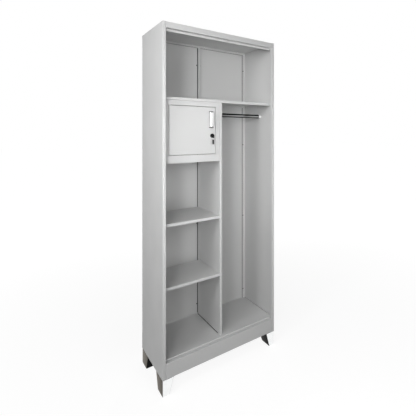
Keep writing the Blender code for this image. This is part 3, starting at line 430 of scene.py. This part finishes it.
def chrome(name, wiped_along, light, shaded=None, gloss=(0.06, 0.16), glance=(1, 1, 1)):
    """gloss is the range of the roughness, glance the share mirrored at a glancing angle."""
    metal = Finish(name, metallic=1.0)
    drawn_out = metal.stretched(tuple(1 - stretch_share * wiped_along))
    marks = metal.noise(scale=900, detail=2.0, place=drawn_out)
    smears = metal.noise(scale=14, detail=4.0)
    worn = tuple(worn_share * value for value in light)
    plate = metal.blend(metal.spread(smears, 0, 1), worn, light)
    if shaded:
        patches = metal.sum(marks, metal.noise(scale=60, detail=3.0))
        streak = tuple(streak_share * value for value in shaded)
        dark = metal.blend(metal.spread(patches, 0, 1, TWO_NOISES), streak, shaded)
        plate = metal.blend(metal.attribute("shade"), plate, dark)
        metal.glance(metal.blend(metal.attribute("shade"), (1, 1, 1), glance))
    else:
        metal.shader.inputs["Specular Tint"].default_value = (*glance, 1)
    metal.colour(plate)
    metal.roughness(metal.spread(metal.sum(marks, smears), *gloss, TWO_NOISES_NARROW))
    metal.bump(marks, strength=0.05, depth=0.01 * MM)
    return metal.material


chrome_leg = chrome("polished_chrome_leg", Z, light=(0.95, 0.96, 0.96),
                    shaded=(0.050, 0.047, 0.044), glance=(0.71, 0.685, 0.65))
# painted dark reflection: nearly black chrome on the walls that face inwards, in place of the dark
# they would mirror
chrome_dark_reflection = chrome("rough_inner_chrome_painted_dark", Z, light=(0.012, 0.012, 0.012),
                      gloss=(0.30, 0.42), glance=(0.55, 0.55, 0.55))
chrome_strap = chrome("polished_chrome_strap", Z, light=(0.90, 0.90, 0.90),
                      shaded=(0.34, 0.34, 0.34))
chrome_rail = chrome("polished_chrome_rail", X, light=(0.80, 0.81, 0.80),
                     shaded=(0.010, 0.010, 0.010))
chrome_cup = chrome("satin_chrome_cup", X, light=(0.84, 0.84, 0.84), gloss=(0.55, 0.68))
print("chrome finishes:", [finish.name for finish in (chrome_leg, chrome_dark_reflection, chrome_strap,
                                                      chrome_rail, chrome_cup)])

# %% A shade for each point of a piece
def shade(made, measure):
    """Gives a piece its shade attribute, worked out from its points as a whole array."""
    mesh = made.data
    points = np.empty(3 * len(mesh.vertices))
    mesh.vertices.foreach_get("co", points)
    values = np.clip(measure(points.reshape(-1, 3)), 0, 1)
    mesh.attributes.new("shade", "FLOAT", "POINT").data.foreach_set("value", values)
    print(made.name, "shaded points:", np.count_nonzero(values), "of", len(values))


# %% [markdown]
# Plain and zinc-plated steel. Bolts, nuts and pins are bare plated steel: a duller, greyer
# mirror with a fine grain and a slightly cloudy plating. The lock's plug and its key have the
# same grain under a dark chemical finish, since they look as black as the lock's housing. Only
# the key's link is rubbed bright, from where it hangs below the housing.

# %% Zinc-plated and blackened steel
blackened = (0.020, 0.020, 0.021)


def plated_steel(name, dull, light, dark_from=None):
    """With dark_from, a height in metres, the steel is blackened above it."""
    metal = Finish(name, metallic=1.0)
    cloud = metal.noise(scale=300, detail=3.0)
    grain = metal.noise(scale=2500, detail=1.0)
    plate = metal.blend(metal.spread(cloud, 0, 1), dull, light)
    if dark_from:
        plate = metal.blend(metal.rise(metal.along(Z), dark_from, blur=2 * MM), plate, blackened)
    metal.colour(plate)
    metal.roughness(metal.spread(metal.sum(cloud, grain), 0.26, 0.42, TWO_NOISES_NARROW))
    metal.bump(grain, strength=0.10, depth=0.02 * MM)
    return metal.material


steel = plated_steel("zinc_plated_steel", dull=(0.46, 0.46, 0.47), light=(0.58, 0.58, 0.58))
dark_steel = plated_steel("blackened_steel", dull=(0.014, 0.014, 0.015),
                          light=(0.026, 0.026, 0.027))
link_steel = plated_steel("rubbed_link_steel", dull=(0.66, 0.66, 0.67),
                          light=(0.78, 0.78, 0.78), dark_from=ends("lock_housing")[0][2])
print("steel finishes:", [finish.name for finish in (steel, dark_steel, link_steel)])

# %% [markdown]
# Black moulded plastic, on the lock's housing and the key's bow. Mould steel is spark-eroded,
# so the plastic comes out with a very fine even grain, and rubs slightly shinier in patches.

# %% Black plastic
def black_plastic():
    plastic = Finish("black_moulded_plastic", metallic=0.0, specular=0.25)
    grain = plastic.noise(scale=3200, detail=2.0)
    rubbed = plastic.noise(scale=160, detail=2.0)
    plastic.colour(plastic.blend(plastic.spread(grain, 0, 1), (0.006, 0.006, 0.007),
                                 (0.011, 0.011, 0.012)))
    plastic.roughness(plastic.spread(rubbed, low=0.38, high=0.54))
    plastic.bump(grain, strength=0.20, depth=0.03 * MM)
    return plastic.material


black = black_plastic()
print("plastic:", black.name)

# %% [markdown]
# Every solid gets its finish by the slot that the model's record names for it, and a few then
# get a finish of their own. The sheets stay as they are: they are flat with 2 mm bends, so there
# is nothing to make finer.

# %% Finishes for the solids
finish_of_slot = {"grey_paint": grey_paint, "polished_chrome": chrome_cup,
                  "black_plastic": black, "zinc_steel": steel}
for part in frame["record"]["subparts"]:
    slots = nodes[part["node"]].data.materials
    slots.clear()
    slots.append(finish_of_slot[part["material_slot"]])
finish_of_node = {"lock_cylinder": dark_steel, "key_blade": dark_steel,
                  "key_pivot_pin": dark_steel, "key_link": link_steel,
                  "back_panel_left": back_coat_with_painted_shade, "back_panel_right": back_coat_with_painted_shade,
                  "back_joint_strip": strip_coat_with_painted_shade, "divider": divider_coat_with_painted_shade,
                  "floor_panel": floor_coat_with_painted_shade}
for name, finish in finish_of_node.items():
    nodes[name].data.materials[0] = finish

# %% [markdown]
# The hanging rail. A chromed tube of 25 mm, held at both ends in cups. The solid has 32 flat
# sides; on a mirror each side would show as a band, so the tube is made again as a smooth one.
# In the photograph only a band a little below its middle is light, and only towards its right
# end. The rest probably mirrors the dark underside of the shelf, the dark bay and the divider,
# so it is shaded.

# %% A smooth tube for the rail
rail_low, rail_high = ends("hanging_rail")
rail_radius = (rail_high[2] - rail_low[2]) / 2
rail_wall, rail_edge = 1.5 * MM, 0.3 * MM
rail_length = rail_high[0] - rail_low[0]
tube = rounded([(rail_radius - rail_wall, 0), (rail_radius, 0), (rail_radius, rail_length),
                (rail_radius - rail_wall, rail_length)], [rail_edge] * 4, 3)
rail_start = middle("hanging_rail") * (0, 1, 1) + rail_low * X
rail = piece("rail_tube", [skin(turned(tube, rail_start, X, 96), True, True)], chrome_rail,
             "cabinet", ["hanging_rail"])


def rail_shade(at):
    """max(3 |height + 0.2| - 0.3, 1 - 1.2 along^2), with the height in radii from the axis and
    along from 0 to 1: light in a band below the middle, and there towards the right end."""
    height = (at[:, 2] - rail_start[2]) / rail_radius
    along = (at[:, 0] - rail_low[0]) / rail_length
    return np.maximum(3 * np.abs(height + 0.2) - 0.3, 1 - 1.2 * along**2)


shade(rail, rail_shade)
print("rail length, mm:", round(rail_length / MM, 1))

# %% [markdown]
# The rail's cups. Each is a pressed flange with a short socket, fixed with small screws through
# the flange. The profile runs round the flange and socket with soft corners, so one turned skin
# gives the whole cup; cutting a cylinder with another would leave all its edges sharp.

# %% Cups and their screws
cup_gap, cup_wall, cup_flange, cup_hole = 0.3 * MM, 2.5 * MM, 2 * MM, 4 * MM
cup_corner_radii = np.array([0.2, 0.5, 1.2, 1.4, 1.2, 0.3, 0.8, 0.2]) * MM
screw_radius, screw_rim, screw_rise = 1.9 * MM, 0.5 * MM, 1.1 * MM
screw_head = rounded([(0, 0), (screw_radius, 0), (screw_radius, screw_rim), (0, screw_rise)],
                     [0, 0, 0.4 * MM, 0.5 * MM], 4, closed=False)


def cup(name, solid, axis):
    low, high = ends(solid)
    base, length = (high[2] - low[2]) / 2, high[0] - low[0]
    bore = rail_radius + cup_gap
    outside = bore + cup_wall
    corners = [(cup_hole, 0), (base, 0), (base, cup_flange), (outside, cup_flange),
               (outside, length), (bore, length), (bore, cup_flange), (cup_hole, cup_flange)]
    centre = middle(solid)
    centre[0] = low[0] if axis[0] > 0 else high[0]
    skins = [skin(turned(rounded(corners, cup_corner_radii, 5), centre, axis, 96), True, True)]
    piece(name, skins, chrome_cup, "cabinet", [solid])
    seat = centre + axis * cup_flange
    reach = (base + outside) / 2
    screws = [skin(turned(screw_head, seat + Z * side * reach, axis, 20), False, True)
              for side in (-1, 1)]
    piece(name + "_screws", screws, steel, "cabinet")
    print(name, "length, mm:", round(length / MM, 1))


cup("rail_end_left", "rail_cup_left", X)
cup("rail_end_right", "rail_cup_right", -X)

# %% [markdown]
# The rivets of the back. In the photograph small dark dots run down the rear flanges and the
# strip over the back's seam; they are taken as the heads of blind rivets. Each is a low dome, a
# quarter of an ellipse swung round its axis, and all of them are one piece. Real domes, and not
# a pattern in the paint, so that they catch the light from any side.

# %% Rivets
rivet_radius, rivet_rise, rivet_steps = 3.4 * MM, 1.2 * MM, 16
rivet_heights = np.array([150, 680, 1190, 1720]) * MM
from_side, from_strip_edge = 15 * MM, 6 * MM
rivet_lines = [("left_side_panel", 0, from_side), ("right_side_panel", 1, -from_side),
               ("back_joint_strip", 0, from_strip_edge), ("back_joint_strip", 1, -from_strip_edge)]
body_base = ends("left_side_panel")[0][2]
quarter = np.linspace(0, np.pi / 2, 8)
dome = np.stack([rivet_radius * np.sin(quarter), -rivet_rise * np.cos(quarter)], axis=1)
dome = np.concatenate([dome, [(0, 0)]])
rivets = []
for solid, end, inwards in rivet_lines:
    corners = ends(solid)
    foot = np.array([corners[end][0] + inwards, corners[1][1] - SHEET, body_base])
    rivets += [skin(turned(dome, foot + height * Z, Y, rivet_steps), False, True)
               for height in rivet_heights]
piece("back_rivets", rivets, dark_steel, "cabinet")
print("rivets:", len(rivets))

# %% [markdown]
# The locker's handle. A flat chromed strap, bent back to the door at both ends. It is a rounded
# rectangle carried along a bow-shaped path. A curve with a bevel could do it, but a strap turns
# its flat side with the path, and the formula keeps that exact.

# %% A strap carried along a bow
def strap(path, section, across):
    """point(i, j) = path(i) + across * section_x(j) + normal(i) * section_y(j), where the normal
    is the path's direction turned a quarter; the ends are closed on their middle."""
    ahead = np.gradient(path, axis=0)
    ahead /= np.linalg.norm(ahead, axis=1, keepdims=True)
    normal = np.cross(ahead, across)
    points = (path[:, None, :] + section[None, :, :1] * across
              + section[None, :, 1:] * normal[:, None, :])
    caps = [np.repeat(path[k][None, None, :], len(section), axis=1) for k in (0, -1)]
    return np.concatenate([caps[0], points, caps[1]])


handle_low, handle_high = ends("locker_handle")
bar, bar_bend, bar_edge, shortest_run = 6 * MM, 9 * MM, 1.6 * MM, 0.01 * MM
half_length = (handle_high[2] - handle_low[2]) / 2 - bar / 2
reach_out = handle_high[1] - handle_low[1] - bar / 2
bow = rounded([(-half_length, 0), (-half_length, reach_out), (half_length, reach_out),
               (half_length, 0)], [0, bar_bend, bar_bend, 0], 16, closed=False)
runs = np.linalg.norm(np.diff(bow, axis=0), axis=1)
bow = bow[np.concatenate([[True], runs > shortest_run])]
handle_foot = middle("locker_handle") * (1, 0, 1) + handle_high * Y
bow_path = handle_foot + bow[:, :1] * Z - bow[:, 1:] * Y
half_width = (handle_high[0] - handle_low[0]) / 2
strap_section = rounded([(-half_width, -bar / 2), (half_width, -bar / 2), (half_width, bar / 2),
                         (-half_width, bar / 2)], [bar_edge] * 4, 5)
handle = piece("handle_strap", [skin(strap(bow_path, strap_section, X), False, True)],
               chrome_strap, "locker_door", ["locker_handle"], crease=50)
# painted shade: the strap turns dark from just before its bends to both ends, in place of the dark
# it would mirror there
shade_start, shade_run = half_length - 6 * MM, 3 * MM
shade(handle, lambda at: (np.abs(at[:, 2] - handle_foot[2]) - shade_start) / shade_run)
print("handle length, mm:", round((handle_high[2] - handle_low[2]) / MM, 1))

# %% [markdown]
# The lock. Its housing is a black plastic ring with a chamfered rim, screwed up from behind
# with a ring nut. The plug sits a millimetre deep in it. Only the ring is made finer: the plug
# and its keyway keep their solids, since the key's blade hides most of them.

# %% The lock's housing
housing_low, housing_high = ends("lock_housing")
rim = (housing_high[0] - housing_low[0]) / 2
housing_face = middle("lock_housing") * (1, 0, 1) + housing_low * Y
ring_bore, ring_neck, rim_chamfer, rim_depth = 6.8 * MM, 9 * MM, 1.5 * MM, 5.7 * MM
ring_depth = housing_high[1] - housing_low[1]
ring_corner_radii = np.array([0.7, 0.6, 0.8, 0.4, 0.1, 0.3, 0.1]) * MM
ring = rounded([(ring_bore, 0), (rim - rim_chamfer, 0), (rim, rim_chamfer), (rim, rim_depth),
                (ring_neck, rim_depth), (ring_neck, ring_depth), (ring_bore, ring_depth)],
               ring_corner_radii, 5)
piece("lock_ring", [skin(turned(ring, housing_face, Y, 72), True, True)], black, "locker_door",
      ["lock_housing"])
print("lock ring across, mm:", round(2 * rim / MM, 1))

# %% [markdown]
# The key's bow. The black pad under the lock is taken as the bow of a folding key: flat plastic
# with round ends. Seen from the front it is a stadium: a half circle, a straight side, a half
# circle. So it is a turned shape pulled apart along a spine, which leaves the ends round and
# makes the sides straight.

# %% A pad pulled apart along its spine
def pad(profile, centre, normal, along, half_spine, steps=64):
    """point(i, a) = centre + along * spine(a) + radius(i) * direction(a) + normal * height(i)."""
    angle = (np.arange(steps) + 0.5) * 2 * np.pi / steps
    side = np.cross(normal, along)
    direction = side * np.cos(angle)[:, None] + along * np.sin(angle)[:, None]
    spine = along * (np.sign(np.sin(angle)) * half_spine)[:, None]
    return (centre + spine[None] + profile[:, :1, None] * direction[None]
            + profile[:, 1, None, None] * normal)


bow_low, bow_high = ends("key_bow")
bow_radius = (bow_high[0] - bow_low[0]) / 2
bow_half = (bow_high[1] - bow_low[1]) / 2
pad_half_spine = (bow_high[2] - bow_low[2]) / 2 - bow_radius
dish, lip = 0.5 * MM, 2.4 * MM
pad_corner_radii = np.array([0, 0.4, 0.4, 1.3, 1.3, 0.4, 0.4, 0]) * MM
pad_profile = rounded(
    [(0, bow_half - dish), (bow_radius - lip - dish, bow_half - dish),
     (bow_radius - lip, bow_half), (bow_radius, bow_half), (bow_radius, -bow_half),
     (bow_radius - lip, -bow_half), (bow_radius - lip - dish, dish - bow_half),
     (0, dish - bow_half)],
    pad_corner_radii, 5, closed=False)
piece("key_pad", [skin(pad(pad_profile, middle("key_bow"), -Y, Z, pad_half_spine), False, True)],
      black, "key_bow", ["key_bow"])
print("key's bow, mm:", [round(size / MM, 1) for size in bow_high - bow_low])

# %% [markdown]
# The legs. Each is cut from 2 mm sheet, folded round to a box that narrows towards the floor,
# then polished and chromed. The box is drawn as the path of the sheet round it, from one end of
# the sheet to the other, with 3 mm bends; the ends meet at the inner corner. The path at the top
# is drawn in to a smaller one at the foot. Solidify gives the sheet its thickness inwards, and
# Bevel takes the sharpness off its cut edges, where chrome always catches the light. The two
# walls that face inwards, and the sheet's inside, look nearly black, so they get a painted dark
# shade in place of the dark they would mirror; the walls that face sideways get a painted
# brownish reflection through their shade.

# %% Tapered box legs
leg_corners = (("front_left", False, False), ("front_right", True, False),
               ("rear_left", False, True), ("rear_right", True, True))
leg_sheet, leg_bend, leg_seam, leg_top_gap, leg_edge = 2 * MM, 3 * MM, 1 * MM, 1 * MM, 0.4 * MM
leg_foot = (36 * MM, 80 * MM)


def leg_walls(corner, signs, top, foot, height):
    """point(i, j): i runs round the box and j down it; each row is
    (1 - drop) * outline at the top + drop * outline at the foot, with drop from 0 to 1."""
    outlines = [rounded([(across - leg_sheet - leg_seam, inward), (0, inward), (0, 0),
                         (across, 0), (across, inward)], [0, leg_bend, leg_bend, leg_bend, 0],
                        8, closed=False) for across, inward in (top, foot)]
    drop = np.linspace(0, 1, 24)[:, None, None]
    flat = outlines[0] * (1 - drop) + outlines[1] * drop
    level = np.broadcast_to(-height * drop, (*flat.shape[:2], 1))
    return corner + signs * np.concatenate([flat, level], axis=-1)


def leg(name, right, rear):
    solid = f"leg_{name}"
    low, high = ends(solid)
    corner = np.array([high[0] if right else low[0], high[1] if rear else low[1],
                       high[2] - leg_top_gap])
    signs = np.array([-1 if right else 1, -1 if rear else 1, 1])
    points = leg_walls(corner, signs, high[:2] - low[:2], leg_foot, corner[2] - low[2])
    made = piece(f"chrome_leg_{name}", [skin(points)], chrome_leg, "cabinet", [solid])
    made.data.materials.append(chrome_dark_reflection)
    first = made.data.polygons[0]
    if np.dot(np.array(first.normal), np.array(first.center) - middle(solid)) < 0:
        made.data.flip_normals()
    normals = np.empty(3 * len(made.data.polygons))
    made.data.polygons.foreach_get("normal", normals)
    faces_inwards = (normals.reshape(-1, 3) * signs)[:, :2].max(axis=1) > 0.5
    made.data.polygons.foreach_set("material_index", faces_inwards.astype(int))
    # painted reflection: shade 0 on the wall that faces front or back, 1 on the wall beside it,
    # which takes the dark brownish colour
    shade(made, lambda at: np.abs(at[:, 1] - corner[1]) / leg_bend)
    wall = made.modifiers.new("sheet", "SOLIDIFY")
    wall.thickness = leg_sheet
    wall.offset = -1
    wall.use_even_offset = True
    wall.material_offset = 1
    edge = made.modifiers.new("edges", "BEVEL")
    edge.width = leg_edge
    edge.segments = 2
    edge.limit_method = "ANGLE"
    edge.angle_limit = math.radians(50)
    print(made.name, "height, mm:", round((high[2] - low[2]) / MM, 1))


for name, right, rear in leg_corners:
    leg(name, right, rear)

# %% [markdown]
# Fixing plates. The underside doesn't show in the photograph; such legs usually have a plate at
# their top that is bolted up under the body. The plate is a rounded rectangle given a thickness,
# with its edges broken. A bevelled cube would do as well, but this way its place and size come
# straight from the leg's.

# %% Fixing plates
plate_wide, plate_long, plate_sheet = 49.4 * MM, 74 * MM, 2 * MM
plate_corner, plate_edge = 4 * MM, 0.3 * MM
from_leg_side, from_leg_end = 2.6 * MM, 3 * MM
to_side = from_leg_side + plate_wide / 2
to_end = from_leg_end + plate_long / 2


def slab(outline, centre, thickness, edge):
    """A closed slab: the outline, drawn in a little at top and bottom, and closed on its middle."""
    inset = 1 - edge / np.abs(outline).max()
    rings = [(0, 0), (inset, 0), (1, edge), (1, thickness - edge), (inset, thickness),
             (0, thickness)]
    flat = np.concatenate([outline, np.zeros((len(outline), 1))], axis=1)
    return np.stack([centre + flat * size + Z * level for size, level in rings])


def fixing_plate(name, right, rear):
    low, high = ends(f"leg_{name}")
    x = high[0] - to_side if right else low[0] + to_side
    y = high[1] - to_end if rear else low[1] + to_end
    half = np.array([plate_wide, plate_long]) / 2
    corners = np.array([(-1, -1), (1, -1), (1, 1), (-1, 1)]) * half
    outline = rounded(corners, [plate_corner] * 4, 6)
    centre = np.array([x, y, high[2] - plate_sheet])
    skins = [skin(slab(outline, centre, plate_sheet, plate_edge), False, True)]
    # the plates take the same chrome with the painted dark reflection
    piece(f"fixing_plate_{name}", skins, chrome_dark_reflection, "cabinet")


for name, right, rear in leg_corners:
    fixing_plate(name, right, rear)
print("fixing plates, mm:", round(plate_wide / MM, 1), "x", round(plate_long / MM, 1))

# %% [markdown]
# Bolts and nuts. Two hexagon bolts go up through each plate into nuts. A hexagon could be a
# six-sided cylinder, but a real head's corners are cut by a chamfer that was turned on a lathe.
# So the profile is swung round as usual, and its radius is held to the hexagon's.

# %% Bolts and nuts
hex_half, hex_corner = 5 * MM, 5.77 * MM
face_share, washer_share = 0.93, 0.98
head_height, washer, head_chamfer, nut_chamfer = 4 * MM, 0.6 * MM, 0.9 * MM, 0.8 * MM
shank, shank_tip, shank_chamfer, nut_bore = 3 * MM, 2.5 * MM, 0.6 * MM, 3.1 * MM
hex_face, washer_face = hex_half * face_share, hex_half * washer_share


def hexagon(name, solid, profile, round_rows):
    """A turned profile, held to the hexagon, from the foot of its solid upwards."""
    low = ends(solid)[0]
    centre = middle(solid) * (1, 1, 0) + low * Z
    skins = [skin(turned(profile, centre, Z, 48, hex_half), round_rows, True)]
    piece(name, skins, steel, "cabinet", [solid], crease=25)


def bolt(name):
    low, high = ends(f"leg_bolt_{name}")
    tip = high[2] - low[2]
    under_head = head_height - washer
    profile = np.array([(0, 0), (hex_face, 0), (hex_corner, head_chamfer),
                        (hex_corner, under_head), (washer_face, under_head),
                        (washer_face, head_height), (shank, head_height),
                        (shank, tip - shank_chamfer), (shank_tip, tip), (0, tip)])
    hexagon(f"hex_bolt_{name}", f"leg_bolt_{name}", profile, False)


def nut(name):
    low, high = ends(f"leg_nut_{name}")
    tall = high[2] - low[2]
    profile = np.array([(nut_bore, 0), (hex_face, 0), (hex_corner, nut_chamfer),
                        (hex_corner, tall - nut_chamfer), (hex_face, tall), (nut_bore, tall)])
    hexagon(f"hex_nut_{name}", f"leg_nut_{name}", profile, True)


bolt_names = [f"{corner}_{number}" for corner, _, _ in leg_corners for number in (1, 2)]
for name in bolt_names:
    bolt(name)
    nut(name)
print("bolts with nuts:", len(bolt_names))

# %% [markdown]
# A plain studio. The floor is pale and matt. For the camera, and for mirrors, it is mostly plain
# white, so the wardrobe stands on an even ground with a faint shadow. A white floor lit by lamps
# would do too, but it would throw much light up on the wardrobe; a glow that only direct rays
# see does not.

# %% Which rays see the glow
def seen_directly(tree):
    """1 for rays from the camera, mirrors and glass, 0 for the light that things throw."""
    rays = tree.nodes.new("ShaderNodeLightPath")
    seen = rays.outputs["Is Camera Ray"]
    for name in ("Is Glossy Ray", "Is Transmission Ray"):
        either = tree.nodes.new("ShaderNodeMath")
        either.operation = "MAXIMUM"
        tree.links.new(seen, either.inputs[0])
        tree.links.new(rays.outputs[name], either.inputs[1])
        seen = either.outputs["Value"]
    return seen


# %% The floor
glow_near, glow_far, glow_edge, glow_full = 0.90, 1.0, 0.6, 3.0


def pale_floor():
    """The eye and mirrors see a glow with a thin diffuse layer, the share that shadows darken.

    The glow rises to full white away from the wardrobe, so the floor has no visible end.
    """
    ground = Finish("pale_floor", metallic=0.0, specular=0.0)
    tree, shader = ground.tree, ground.shader
    shader.inputs["Roughness"].default_value = 0.9
    seen = seen_directly(tree)
    mottle = ground.spread(ground.noise(scale=40, detail=3.0), 0, 1)
    matt = ground.blend(mottle, (0.49, 0.49, 0.49), (0.51, 0.51, 0.51))
    ground.colour(ground.blend(seen, matt, (0.16, 0.16, 0.16)))
    shader.inputs["Emission Color"].default_value = (1, 1, 1, 1)
    reach = tree.nodes.new("ShaderNodeVectorMath")
    reach.operation = "LENGTH"
    tree.links.new(ground.place, reach.inputs[0])
    glow = ground.spread(reach.outputs["Value"], glow_near, glow_far, (glow_edge, glow_full))
    tree.links.new(ground.math("MULTIPLY", seen, glow), shader.inputs["Emission Strength"])
    return ground.material


floor_half, floor_gap = 30.0, 0.2 * MM
floor_mesh = bpy.data.meshes.new("studio_floor")
floor_line = [-floor_half, floor_half]
floor_grid = np.stack(np.meshgrid(floor_line, floor_line, [-floor_gap]), axis=-1)[:, :, 0, :]
floor_points, floor_faces = skin(floor_grid)
floor_mesh.from_pydata(floor_points.tolist(), [], floor_faces.tolist())
floor_mesh.materials.append(pale_floor())
studio_floor = bpy.data.objects.new("studio_floor", floor_mesh)
bpy.context.scene.collection.objects.link(studio_floor)
print("floor, metres across:", 2 * floor_half)


# %% The world
def studio_world(strength):
    world = bpy.data.worlds.new("studio")
    bpy.context.scene.world = world
    world.use_nodes = True
    tree = world.node_tree
    light = tree.nodes["Background"]
    light.inputs["Color"].default_value = (1, 1, 1, 1)
    light.inputs["Strength"].default_value = strength
    white = tree.nodes.new("ShaderNodeBackground")
    white.inputs["Color"].default_value = (1, 1, 1, 1)
    white.inputs["Strength"].default_value = 1.0
    mixed = tree.nodes.new("ShaderNodeMixShader")
    tree.links.new(seen_directly(tree), mixed.inputs["Fac"])
    tree.links.new(light.outputs["Background"], mixed.inputs[1])
    tree.links.new(white.outputs["Background"], mixed.inputs[2])
    tree.links.new(mixed.outputs["Shader"], tree.nodes["World Output"].inputs["Surface"])


world_strength = 0.01
studio_world(world_strength)
print("world strength:", world_strength)

# %% [markdown]
# Soft light. In the photograph the left side and all that faces front are bright, the lower half
# is duller, and each bay is darkest under its shelf and on its left, so the light comes from the
# front and the left, and hardly from above the wardrobe. Five small soft boxes do the same. Each
# is placed by its direction, in degrees from straight in front towards the left, its distance
# and its height, and leans towards the middle of the wardrobe. The hanging bay is brighter than
# the others, as if a lamp with a grid were aimed into it: a grid narrows a lamp's spread. One
# more box stands behind on the right, only so that the back shows when the wardrobe is turned.

# %% Lamps
box_size, wardrobe_middle, no_grid = 0.6, 1.0, 180.0


def soft_box(name, degrees, distance, height, watts, spread=no_grid, target=None):
    lamp = bpy.data.lights.new(name, "AREA")
    lamp.shape = "SQUARE"
    lamp.size = box_size
    lamp.energy = watts
    lamp.spread = math.radians(spread)
    box = bpy.data.objects.new(name, lamp)
    bpy.context.scene.collection.objects.link(box)
    angle = math.radians(degrees)
    target = Vector(target or (0, 0, (wardrobe_middle + height) / 2))
    centre = target.x if spread < no_grid else 0.0
    box.location = (centre - math.sin(angle) * distance, -math.cos(angle) * distance, height)
    box.rotation_euler = (target - box.location).to_track_quat("-Z", "Y").to_euler()


soft_box("soft_box_key", 38, 3.2, 1.6, 24.3)
soft_box("soft_box_side", 67, 2.2, 2.0, 18.6)
soft_box("soft_box_near", 50, 1.5, 2.0, 5.3)
soft_box("soft_box_front", 0, 1.5, 1.6, 6.0)
soft_box("soft_box_low", 0, 1.5, 0.6, 3.7)
soft_box("grid_lamp", 40, 2.5, 1.3, 1.15, spread=45, target=(0.17, 0.1, 1.15))
soft_box("soft_box_behind", 215, 4.0, 2.4, 22.0)
print("lamps:", [lamp.name for lamp in bpy.data.lights if lamp.type == "AREA"])

# %% [markdown]
# The camera. The photograph was taken from the front left at chest height, turned 40 degrees,
# with the back of the camera upright: the wardrobe's edges stay parallel and the picture is
# shifted sideways and down instead of tilted.

# %% Camera
view_point = (-0.9325, -1.9733, 1.3554)
turn_degrees = 40.0
camera = bpy.data.cameras.new("camera")
camera.lens = 29.47
camera.sensor_width = 36.0
camera.shift_x = -0.221
camera.shift_y = -0.179
stand = bpy.data.objects.new("camera", camera)
stand.location = view_point
stand.rotation_euler = (math.radians(90), 0, math.radians(-turn_degrees))
bpy.context.scene.collection.objects.link(stand)
bpy.context.scene.camera = stand
bpy.context.scene.view_settings.view_transform = "Standard"
print("camera at, metres:", view_point, "lens, mm:", round(camera.lens, 2))
